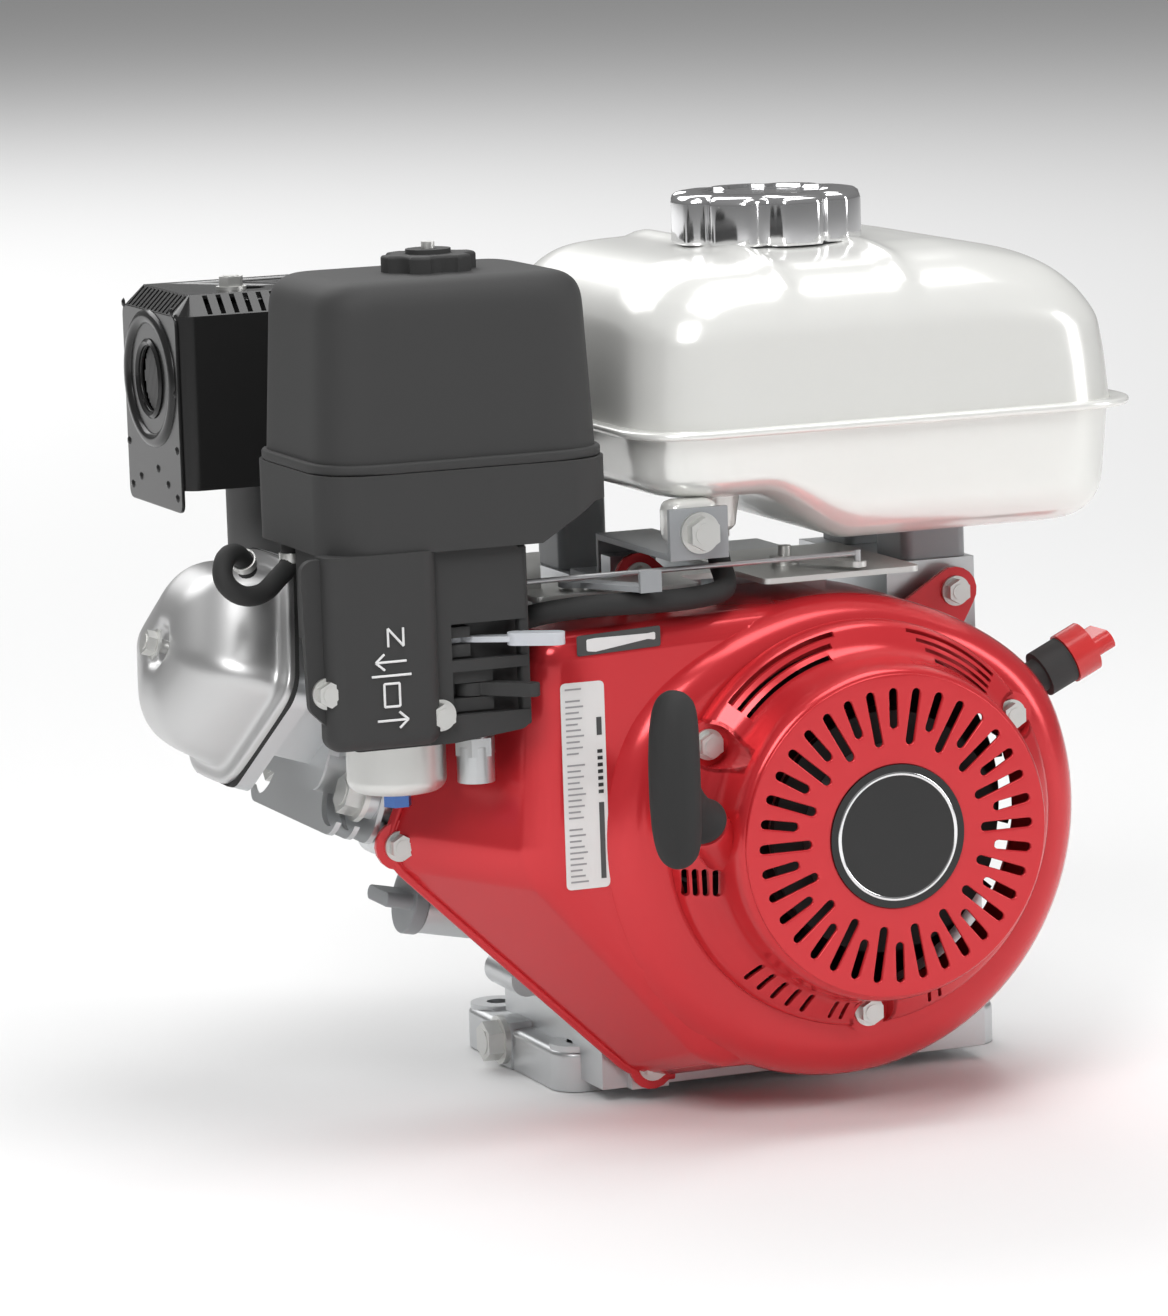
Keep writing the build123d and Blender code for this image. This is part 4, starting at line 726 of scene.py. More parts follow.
class ENGINE_OT_finishes(bpy.types.Operator):
    """Make every paint, metal, plastic and rubber of the engine"""
    bl_idname = "engine.finishes"
    bl_label = "Finishes"

    def execute(self, context):
        tint = colours()
        for build in (build_grain_group, build_dust_group, build_tone_group):
            build()
        enamel("red_enamel", tint.red)
        enamel("tank_enamel", tint.tank, peel=0.03, rough=(0.2, 0.26), dust=0.02)
        enamel("black_enamel", tint.enamel, peel=0.06, rough=(0.12, 0.2), dust=0.02, coat=0.3)
        enamel("badge", (0.004, 0.004, 0.005), peel=0.01, rough=(0.06, 0.1), dust=0.0, coat=0.0)
        enamel("label_paper", (0.78, 0.78, 0.77), peel=0.01, rough=(0.3, 0.36), dust=0.02)
        enamel("label_ink", (0.03, 0.03, 0.03), peel=0.01, rough=(0.3, 0.36), dust=0.0)
        moulded("black_plastic", tint.plastic, (0.34, 0.44))
        moulded("grey_plastic", tint.grey, (0.4, 0.5), 0.15)
        moulded("pale_plastic", tint.pale, (0.34, 0.42), 0.06)
        moulded("red_plastic", (0.6, 0.03, 0.025), (0.28, 0.36), 0.05)
        moulded("black_rubber", tint.rubber, (0.4, 0.52), 0.12, 1100)
        moulded("printed_mark", tint.marks, (0.4, 0.5), 0.1)
        moulded("label_grey", (0.35, 0.35, 0.36), (0.35, 0.4), 0.02)
        bright_metal("chrome", (0.87, 0.87, 0.88), (0.03, 0.07), 0.004, dust=0.01)
        bright_metal("pressed_steel", (0.58, 0.56, 0.53), (0.1, 0.2), 0.02, 300, 0.15)
        bright_metal("zinc_plate", (0.62, 0.63, 0.62), (0.22, 0.36), 0.06, 900, 0.2)
        bright_metal("yellow_zinc", (0.62, 0.5, 0.25), (0.22, 0.34), 0.05, 900, 0.2)
        bright_metal("machined_steel", (0.6, 0.6, 0.6), (0.2, 0.32), 0.05, 1200, 0.12)
        bright_metal("blue_zinc", (0.2, 0.27, 0.6), (0.18, 0.3), 0.04, 900, 0.25)
        cast_metal("cast_aluminium", tint.alloy)
        cast_metal("cast_iron", (0.2, 0.19, 0.18), (0.5, 0.68))
        pleated_paper("filter_paper", (0.55, 0.42, 0.2))
        laid_rope("rope", (0.62, 0.6, 0.55))
        return {"FINISHED"}


NODE_FINISHES = {
    "cast_aluminium": ("crankcase", "crankcase_cover", "cylinder_head", "piston", "connecting_rod",
                       "carburetor"),
    "cast_iron": ("flywheel", "camshaft", "cylinder_liner", "exhaust_pipe", "starter_cup"),
    "machined_steel": ("bearings_and_seal", "crankshaft", "crank_and_wrist_pins",
                       "piston_rings", "valves_and_springs", "rewind_spring", "ratchet_pawls",
                       "ignition_coil", "governor_rod"),
    "zinc_plate": ("flange_bolts", "spark_plug", "cover_stud", "governor_arm", "throttle_lever",
                   "float_bowl", "control_plate"),
    "grey_plastic": ("control_lever",),
    "black_plastic": ("switch_barrel", "insulator", "cooling_fan", "rope_reel"),
    "black_rubber": ("head_cover_gasket",),
    "blue_zinc": ("bowl_bolt",),
    "filter_paper": ("air_filter",),
    "rope": ("wound_rope",),
    "black_enamel": ("muffler_body",),
    "badge": ("badge_disc",),
}


class ENGINE_OT_cad_finishes(bpy.types.Operator):
    """Paint the CAD pieces that keep their own shape"""
    bl_idname = "engine.cad_finishes"
    bl_label = "Paint CAD Pieces"

    def execute(self, context):
        for finish, nodes in NODE_FINISHES.items():
            for node in nodes:
                paint(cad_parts[node], finish)
        return {"FINISHED"}


# ---------------------------------------------------------------- fan cover and starter
DRUM_X, DRUM_RISE = -4.0, -1.0      # the drum's centre from the crankshaft's line
DRUM_R, DRUM_FRONT, DRUM_REAR = 117.0, -118.0, -46.0
DRUM_TOP = 234.0
PANEL_FRONT = [(-146, 226), (0, 232), (0, 24), (-68, 27), (-150, 122)]
PANEL_REAR = [(-154, 231), (0, 234), (0, 17), (-80, 10), (-201, 127)]
EARS = [(-193, 130), (82, 222), (-74, 241), (-75, 17)]
EAR_FRONT = -49.0
PANEL_SIDE_X, PANEL_SEAM_X = -20.0, -1.0    # edges left of these get the panel's bevels
SQUASH_START = 170.0                # height above which the drum's top is pressed lower
INLET_R, WINDOW_R, INLET_DEPTH = 76.5, 88.0, 18.0   # air inlet behind the starter housing
# where the inlet opens out behind the vents: start and end in degrees, radius
WINDOWS = [(93, 144, 80), (37, 83, 80), (179, 205, WINDOW_R), (221, 269, WINDOW_R)]


def round_shaft(points):
    """Outline points round the crankshaft's line instead of round zero."""
    return [(x, z + SHAFT_Z) for x, z in points]


class ENGINE_OT_fan_cover(bpy.types.Operator):
    """Press the red fan cover: drum, side panel, ears, rolled rear edge and openings"""
    bl_idname = "engine.fan_cover"
    bl_label = "Fan Cover"

    def side_panel(self):
        front = DRUM_FRONT + sizes().panel_drop / MM
        a = chain("panel", [at(x, front, z) for x, z in PANEL_FRONT + PANEL_FRONT[:1]])
        b = chain("panel_rear", [at(x, DRUM_REAR, z) for x, z in PANEL_REAR + PANEL_REAR[:1]])
        panel = together("panel", a, b)
        with editing(panel):
            take_all()
            bpy.ops.mesh.remove_doubles(threshold=WELD)
            take_all()
            bpy.ops.mesh.bridge_edge_loops()
            for y in (front, DRUM_REAR):
                level = at(0, y, 0).y
                choose(panel, "EDGE", on_level(Y_AXIS, level))
                bpy.ops.mesh.edge_face_add()
            turn_outwards(weld=False)
            limit, seam = at(PANEL_SIDE_X, 0, 0).x, at(PANEL_SEAM_X, 0, 0).x
            choose(panel, "EDGE", lambda e: abs(direction(e).y) > 0.5 and middle(e).x < limit)
            bevel(12 * MM, 6, clamp=True)
            level = at(0, front, 0).y
            choose(panel, "EDGE", lambda e: on_level(Y_AXIS, level)(e) and middle(e).x < seam)
            bevel(sizes().panel_edge, 6, clamp=True)
        return panel

    def drum(self):
        z = SHAFT_Z + DRUM_RISE
        drum = bar("drum", DRUM_R, (DRUM_X, DRUM_REAR, z), (DRUM_X, DRUM_FRONT, z), 128)
        with editing(drum):
            level = at(0, DRUM_FRONT, 0).y
            choose(drum, "EDGE", on_level(Y_AXIS, level))
            bevel(sizes().scroll_edge, 10)
        round_top = SHAFT_Z + DRUM_RISE + DRUM_R
        reshape(drum, lambda x, y, z: (
            x, y, z - (round_top - DRUM_TOP) * smooth_step(z, SQUASH_START, round_top)))
        return drum

    def open_rear_and_inlet(self, cover):
        """Leave an open sheet: no rear, and no wall or floor in the inlet."""
        rear, front, floor = (
            at(0, y, 0).y for y in (DRUM_REAR, DRUM_FRONT, DRUM_FRONT + INLET_DEPTH + 0.1))
        centre = at(0, 0, SHAFT_Z)

        def goes(face):
            place = face.calc_center_median()
            reach = WINDOW_R if place.z < centre.z else WINDOWS[0][2]
            near = math.hypot(place.x - centre.x, place.z - centre.z) < (reach + 0.5) * MM
            return (abs(place.y - rear) < NEAR and abs(face.normal.y) > 0.99) or (
                near and front + NEAR < place.y < floor)

        with editing(cover):
            choose(cover, "FACE", goes)
            bpy.ops.mesh.delete(type="FACE")

    def rolled_edge(self):
        """A rolled bead round the rear edge of the panel."""
        route = soft_corners(PANEL_REAR[2:] + PANEL_REAR[:2], 16, 6)
        outline = [p for p in route if p[0] < -60]
        bead = tube_along("bead", [(x, DRUM_REAR - 1, z) for x, z in outline], 2.4, sides=4)
        return as_mesh(bead)

    def ears(self):
        for x, z in EARS:
            inward = Vector((DRUM_X - x, SHAFT_Z - z)).normalized() * 30
            side = Vector((-inward.y, inward.x)).normalized() * 19
            outward = math.atan2(-inward.y, -inward.x)
            tip = [(x + 11 * math.cos(outward + math.radians(t)),
                    z + 11 * math.sin(outward + math.radians(t)))
                   for t in range(-80, 81, 20)]
            root = [(x + inward.x - side.x, z + inward.y - side.y),
                    (x + inward.x + side.x, z + inward.y + side.y)]
            yield front_prism("ear", tip + root, EAR_FRONT, EAR_FRONT + 2.5)

    def execute(self, context):
        cover = carve(self.drum(), self.side_panel(), "UNION")
        reach = [max([INLET_R] + [r for a, b, r in WINDOWS if a < turn < b])
                 for turn in range(0, 360, 3)]
        outline = [(r * math.cos(math.radians(3 * i)), r * math.sin(math.radians(3 * i)))
                   for i, r in enumerate(reach)]
        carve(cover, front_prism("inlet", round_shaft(outline),
                                 DRUM_FRONT - 20, DRUM_FRONT + INLET_DEPTH))
        self.open_rear_and_inlet(cover)
        thicken(cover, sizes().sheet_wall / MM)
        low, high = working_box("switch_barrel")
        axis = Vector((math.cos(math.radians(25)), 0, math.sin(math.radians(25))))
        switch = (low + high) / 2
        carve(cover, bar("switch_hole", 8.4, switch - axis * 40, switch + axis * 20))
        soften(cover, 0.5, 2, 50)
        cover = together("fan_cover_pressing", cover, self.rolled_edge(), *self.ears())
        finished(cover, "fan_cover_pressing", "red_enamel", replaces=["fan_cover"])
        return {"FINISHED"}


RECOIL_PROFILE = [(69.5, -158.6), (71.6, -158.2), (73.4, -156.8), (74.6, -154.5), (75.6, -150),
                  (76.6, -142), (77.8, -137), (80, -133.4), (83, -130.9), (88, -127.6), (90.2, -125.6),
                  (91.4, -123), (91.6, -118.4)]
RECOIL_BOLTS = [(85 * math.cos(math.radians(a)), 85 * math.sin(math.radians(a)))
                for a in (30, 150, 270)]


class ENGINE_OT_starter_housing(bpy.types.Operator):
    """Press the red starter housing with its ring of slots, shoulder vents and bolt pads"""
    bl_idname = "engine.starter_housing"
    bl_label = "Starter Housing"

    def vents(self):
        """Outlines of the vents in the housing's shoulder."""
        for radius in (79.6, 83.8, 88.0):
            yield arc_slot(radius, 2.3, 99 + (88 - radius) * 0.5, 137)
        for radius in (78.8, 82.0, 85.2, 88.4):
            yield arc_slot(radius, 1.6, 44, 76 - (88.4 - radius))
        for i in range(4):
            yield [(x - 76.5 - i * 3.7, z - 17.5) for x, z in slot_points(12.5, 2.6, 0, 0, lean=94)]
        for i in range(5):
            yield slot_points(9.5, 2.5, 83.5, 226 + i * 5.2)
        for i in range(5):
            yield slot_points(9.0, 1.8, 83.5, 256 + i * 3.6 if i < 3 else 278 + i * 3.6)

    def execute(self, context):
        size = sizes()
        shell = shaft_turned("shell", RECOIL_PROFILE, 144)
        thicken(shell, size.sheet_wall / MM)
        for outline in self.vents():
            carve(shell, front_prism("vent", round_shaft(outline), -150, -110))
        for x, z in round_shaft(RECOIL_BOLTS):
            carve(shell, bar("pocket", 9.6, (x, -150, z), (x, -110, z)))
        for x, z in round_shaft(RECOIL_BOLTS):
            pad = bar("pad", 10.4, (x, -123, z), (x, -118.3, z))
            wall = bar("wall", 11.2, (x, -150, z), (x, -118.3, z))
            solid = shaft_turned("solid", [(0, -158.6), *RECOIL_PROFILE, (0, -118.4)], 144)
            carve(wall, solid, "INTERSECT")
            carve(wall, bar("bore", 9.5, (x, -151, z), (x, -118, z)))
            shell = together("shell", shell, pad, wall)
        face = size.slot_width / MM
        half = size.slot_count // 2
        holes = [circle_points(32.6)]
        for i in range(half):
            angle = 360 * i / half
            holes.append(slot_points(26.5, face, 53.3, angle))
            holes.append(slot_points(19.5, face, 56.8, angle + 180 / half))
        disc = plate("disc", circle_points(71.4, 160), holes, 2.2, 0.7,
                     facing_front(STARTER_FRONT + 1.1, 0, SHAFT_Z))
        seat = shaft_turned("seat", [(0, -158.9), (36, -158.9), (36, -157), (0, -157)], 64, True)
        collar = self.rope_guide()
        post = bar("post", 9, (0, -158, SHAFT_Z), (0, -150, SHAFT_Z), 32)
        shell = together("starter_housing_pressing", shell, disc, seat, collar, post)
        finished(shell, "starter_housing_pressing", "red_enamel", replaces=["recoil_housing"], angle=40)
        return {"FINISHED"}

    def rope_guide(self):
        """The collar that the starter rope leaves through."""
        start, pull = Vector(GUIDE), PULL
        profile = [(5.2, 0.2), (7.5, 0.0), (9.6, -1.2), (10.2, -4), (10.8, -24), (3.4, -24), (3.4, -1)]
        return turned("collar", profile, at(*start), pull, 40, True)


GUIDE = (-87.0, -150.0, 145.0)       # where the rope leaves the housing
GRIP = (-112.0, -177.0, 171.0)       # middle of the grip's bar
PULL = (Vector(GRIP) - Vector(GUIDE)).normalized()


class ENGINE_OT_starter_grip(bpy.types.Operator):
    """Mould the rubber starter grip, blended into its neck"""
    bl_idname = "engine.starter_grip"
    bl_label = "Starter Grip"

    def execute(self, context):
        radius = sizes().grip_radius / MM
        middle_x, middle_y, middle_z = GRIP
        bow = [(-38, 0.30, 9.5), (-36.5, 0.62, 8.0), (-31, 0.86, 5.0), (-20, 0.97, 1.6), (0, 1.0, 0),
               (20, 0.97, 1.6), (31, 0.86, 5.0), (36.5, 0.62, 8.0), (38, 0.30, 9.5)]
        back = -PULL
        points = [(middle_x + back.x * b * 0.6, middle_y + back.y * b * 0.6, middle_z + h)
                  for h, r, b in bow]
        handle = tube_along("handle", points, radius, sides=6)
        for point, (h, r, b) in zip(handle.data.splines[0].points, bow):
            point.radius = r
        handle = as_mesh(handle)
        start = Vector(GUIDE) + PULL * 0.4
        neck_length = (Vector(GRIP) - start).length
        profile = [(0, 0.2), (9.5, 0.2), (10.6, 1.4), (10.8, 4), (9.2, 8), (7.8, 14), (7.4, 22),
                   (8.6, neck_length - 3), (0, neck_length)]
        neck = turned("neck", profile, at(*start), PULL, 40)
        grip = together("grip", handle, neck)
        apply_modifier(grip, "REMESH", mode="VOXEL", voxel_size=0.0009)
        apply_modifier(grip, "SMOOTH", factor=0.5, iterations=14)
        finished(grip, "starter_grip_rubber", "black_rubber", "grip", "black_rubber",
                 ["starter_grip"], angle=180, weighted=False)
        return {"FINISHED"}


class ENGINE_OT_starter_rope(bpy.types.Operator):
    """Lay up the rope between the starter housing and the grip"""
    bl_idname = "engine.starter_rope"
    bl_label = "Starter Rope"

    def execute(self, context):
        radius = sizes().rope_radius / MM
        start, end = Vector(GUIDE) - PULL * 12, Vector(GRIP) - PULL * 6
        side = PULL.orthogonal().normalized()
        other = PULL.cross(side)
        steps, strands = 36, []
        for strand in range(3):
            points = []
            for i in range(steps + 1):
                turn = 2 * math.pi * (i / 9 + strand / 3)
                offset = (side * math.cos(turn) + other * math.sin(turn)) * radius * 0.46
                points.append(start + (end - start) * (i / steps) + offset)
            strands.append(as_mesh(tube_along("strand", points, radius * 0.54, resolution=3, sides=3)))
        rope = together("rope_strands", *strands)
        only(rope)
        bpy.ops.object.shade_smooth()
        rope.name = "starter_rope_strands"
        paint(rope, "rope")
        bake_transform(rope)
        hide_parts("starter_rope")
        return {"FINISHED"}


# ---------------------------------------------------------------- tank and cap
CAP_X, CAP_Y, CAP_R = 8.0, -14.0, 44.0
TANK_FLOOR, TANK_STEP = 257.0, 280.0    # heights of the lower half's two levels


class ENGINE_OT_tank(bpy.types.Operator):
    """Press the tank's two halves with their shoulders, ridges, step and seam"""
    bl_idname = "engine.tank"
    bl_label = "Fuel Tank"

    def upper(self):
        low, high = working_box("tank_top")
        seam, top = low.z, high.z - 10
        half = pressed_block("tank_upper", (low.x + 5, high.x - 5), (low.y + 5, high.y - 5),
                             (seam, top + 1), 36, sizes().tank_rim / MM, 0.05, 21, 2)
        ridge = sizes().ridge_height / MM

        def form(x, y, z):
            share = smooth_step(z, seam + 12, top - 4)
            fall = 13 * smooth_step(x, 66, 150) + 5 * smooth_step(-x, 30, 110)
            fall += 7 * smooth_step(-y, 50, 118) + 5 * smooth_step(y, 50, 105)
            rise = 0.0
            for middle_x in (-22.0, 36.0):
                across = (x - middle_x) / 5.5
                rise += ridge * math.exp(-across * across)
            fade = smooth_step(-y, -96, -70) * (1 - smooth_step(-y, 98, 116))
            return x, y, z - fall * share + rise * fade * smooth_step(z, top - 26, top - 12)

        reshape(half, form)
        thicken(half, sizes().tank_wall / MM)
        return half

    def neck(self):
        low, high = working_box("tank_top")
        profile = [(26, -22), (30, -22), (30, 1), (34, 2), (36, 4), (36, 5.2), (31, 5.2),
                   (30, 10), (26, 10)]
        return turned("neck", profile, at(CAP_X, CAP_Y, high.z - 10), (0, 0, 1), 64, True)

    def lower(self):
        low, high = working_box("tank_bottom")
        seam, floor, step = high.z, TANK_FLOOR, TANK_STEP
        half = pressed_block("tank_lower", (low.x + 5, high.x - 7), (low.y + 6, high.y - 6),
                             (seam, floor), 32, 20, 0.035, 21, 2)

        def form(x, y, z):
            depth = seam - floor - (step - floor) * (1 - smooth_step(x, -36, 10))
            return x, y, seam - (seam - z) * depth / (seam - floor)

        reshape(half, form)
        thicken(half, sizes().tank_wall / MM)
        lug = copy_box("lug", (-82, -58), (-108.4, -92), (262, 282), 5)
        sump = turned("sump", [(0, -16), (7, -16), (9, -14), (11, 0), (16, 4)],
                      at(-48, -78, 280), (0, 0, 1), 32)
        return together("tank_lower", half, lug, sump)

    def seam(self):
        low, high = working_box("tank_top")
        width, depth = high.x - low.x, high.y - low.y
        corners = rectangle(width, depth)
        hole = [(x * 0.95, y * 0.95) for x, y in soft_corners(corners, 34, 10)]
        outline = [(x * 0.993, y * 0.992) for x, y in soft_corners(corners, 36, 10)]
        return plate("seam", outline, [hole], 3.4, 1.5, Matrix.Translation(
            at((low.x + high.x) / 2, (low.y + high.y) / 2, low.z)))

    def execute(self, context):
        upper = together("tank_upper_pressing", self.upper(), self.neck(), self.seam())
        finished(upper, "tank_upper_pressing", "tank_enamel", replaces=["tank_top"],
                 weighted=False)
        finished(self.lower(), "tank_lower_pressing", "tank_enamel", replaces=["tank_bottom"],
                 weighted=False)
        return {"FINISHED"}


def copy_box(name, x_range, y_range, z_range, corner, segments=3):
    """A block with every edge rounded."""
    obj = block(name, x_range, y_range, z_range)
    soften(obj, corner, segments, 30)
    return obj


class ENGINE_OT_fuel_cap(bpy.types.Operator):
    """Draw the chromed cap with its eight lobes and the gasket below it"""
    bl_idname = "engine.fuel_cap"
    bl_label = "Fuel Cap"

    def outline(self, radius, depth, count=128, lobes=8):
        points = []
        for i in range(count):
            a = 2 * math.pi * i / count
            hollow = max(0.0, math.cos(lobes * a + math.pi)) ** 1.6
            r = radius - depth * hollow
            points.append((r * math.cos(a), r * math.sin(a)))
        return points

    def execute(self, context):
        low, high = working_box("fuel_cap")
        cap = face_of("cap", [at(CAP_X + x, CAP_Y + y, low.z + 0.4)
                              for x, y in self.outline(CAP_R - 1, 5.5)])
        steps = [(1.5, 1.022), (17.0, 1.0), (2.2, 0.985), (1.4, 0.955), (0.5, 0.9), (0.2, 0.8),
                 (-1.2, 0.93), (0.0, 0.6)]      # rise and scale of each drawn ring
        with editing(cap):
            take_all()
            for rise, scale in steps:
                extrude((0, 0, rise * MM))
                bpy.ops.transform.resize(value=(scale, scale, 1), center_override=at(CAP_X, CAP_Y, 0))
        point_outwards(cap)
        finished(cap, "fuel_cap_shell", "chrome", "tank_cap", "chrome", ["fuel_cap"], angle=45)
        gasket = turned("gasket", [(31, -1.4), (38, -1.4), (38.6, -0.4), (38, 0.4), (31, 0.4)],
                        at(CAP_X, CAP_Y, low.z), (0, 0, 1), 64, True)
        finished(gasket, "fuel_cap_gasket", "black_rubber", "tank_cap", "black_rubber")
        return {"FINISHED"}


# ---------------------------------------------------------------- air cleaner and intake
class ENGINE_OT_air_cleaner(bpy.types.Operator):
    """Mould the air cleaner's cover, its lip and the six-lobed knob"""
    bl_idname = "engine.air_cleaner"
    bl_label = "Air Cleaner"

    def execute(self, context):
        low, high = working_box("air_cleaner_cover")
        cover = pressed_block("cleaner_cover", (low.x + 2.2, high.x - 2.2), (low.y + 2.2, high.y - 2.2),
                              (low.z + 1, high.z + 0.6), 23, sizes().cleaner_rim / MM, 0.06, 16, 2)
        thicken(cover, 2.5)
        lip = pressed_lip("lip", (low.x, high.x), (low.y, high.y), low.z, low.z + 4.6, 23)
        cover = together("air_cleaner_shell", cover, lip)
        finished(cover, "air_cleaner_shell", "black_plastic", replaces=["air_cleaner_cover"],
                 angle=40, weighted=False)
        knob = copy_of("cleaner_knob", "knob")
        soften(knob, 0.9, 3, 30)
        finished(knob, "cleaner_knob_moulding", "black_plastic", "filter_knob", "black_plastic",
                 ["cleaner_knob"])
        case = copy_of("air_cleaner_case", "case")
        soften(case, 1.1, 3, 40)
        finished(case, "air_cleaner_tray", "black_plastic", replaces=["air_cleaner_case"])
        return {"FINISHED"}


def pressed_lip(name, x_range, y_range, z0, z1, corner):
    """A band with rounded edges round a moulding's open side."""
    width, depth = x_range[1] - x_range[0], y_range[1] - y_range[0]
    corners = rectangle(width, depth)
    rim = soft_corners(corners, corner * 1.25, 8)
    outline = [(x * (1 - 2.2 / width), y * (1 - 2.2 / depth)) for x, y in rim]
    hole = [(x * (1 - 12 / width), y * (1 - 12 / depth)) for x, y in rim]
    place = Matrix.Translation(at(sum(x_range) / 2, sum(y_range) / 2, (z0 + z1) / 2))
    return plate(name, outline, [hole], z1 - z0, 1.1, place)


DUCT_FLOOR = 187.0


class ENGINE_OT_intake(bpy.types.Operator):
    """Mould the black intake with its bulging duct and printed marks"""
    bl_idname = "engine.intake"
    bl_label = "Intake"

    def execute(self, context):
        elbow = copy_of("intake_elbow", "elbow")
        soften(elbow, 0.7, 2, 40)
        duct = block("duct", (-249, -197), (-125.5, -112), (DUCT_FLOOR, 272))
        floor = at(0, 0, DUCT_FLOOR).z
        with editing(duct):
            choose(duct, "EDGE", lambda e: abs(direction(e).z) > 0.9 and middle(e).y < at(0, -120, 0).y)
            bevel(8 * MM, 6)
            choose(duct, "EDGE", lambda e: abs(middle(e).z - floor) < NEAR)
            bevel(6 * MM, 5)
        edge = copy_box("edge", (-158, -153.4), (-117, -111), (191, 270), 1.2)
        back = copy_box("back", (-196, -155), (-108.5, -106), (192, 238), 1.0)
        elbow = together("intake_moulding", elbow, duct, edge, back)
        finished(elbow, "intake_moulding", "black_plastic", replaces=["intake_elbow"])
        self.marks()
        return {"FINISHED"}

    def marks(self):
        """Choke symbol, two arrows, a divider and a box, raised a hair from the duct."""
        x, y = -221.0, -125.9
        strokes = [[(-1, 240), (6, 232)], [(-1, 232), (-1, 240)], [(6, 232), (6, 240)],
                   [(-7, 225.5), (7, 225.5)], [(-7, 225.5), (-3, 229)], [(-7, 225.5), (-3, 222)],
                   [(-9, 219.5), (9, 219.5)], [(-3.5, 206), (3.5, 206)], [(-3.5, 206), (-3.5, 216)],
                   [(3.5, 206), (3.5, 216)], [(-3.5, 216), (3.5, 216)],
                   [(-7, 200), (7, 200)], [(7, 200), (3, 203.5)], [(7, 200), (3, 196.5)]]
        pieces = [bar("stroke", 0.55, (x + a[0], y, a[1]), (x + b[0], y, b[1]), 8) for a, b in strokes]
        marks = together("intake_marks", *pieces)
        finished(marks, "intake_marks", "printed_mark", "engine", "black_plastic")


# ---------------------------------------------------------------- exhaust
OUTLET_Y, OUTLET_Z, OUTLET_R = 93.0, 331.0, 15.5
CHAMFER_SLOTS, SIDE_SLOTS, SLOT_HALF, SLOT_REACH = 12, 20, 1.2, 8.5


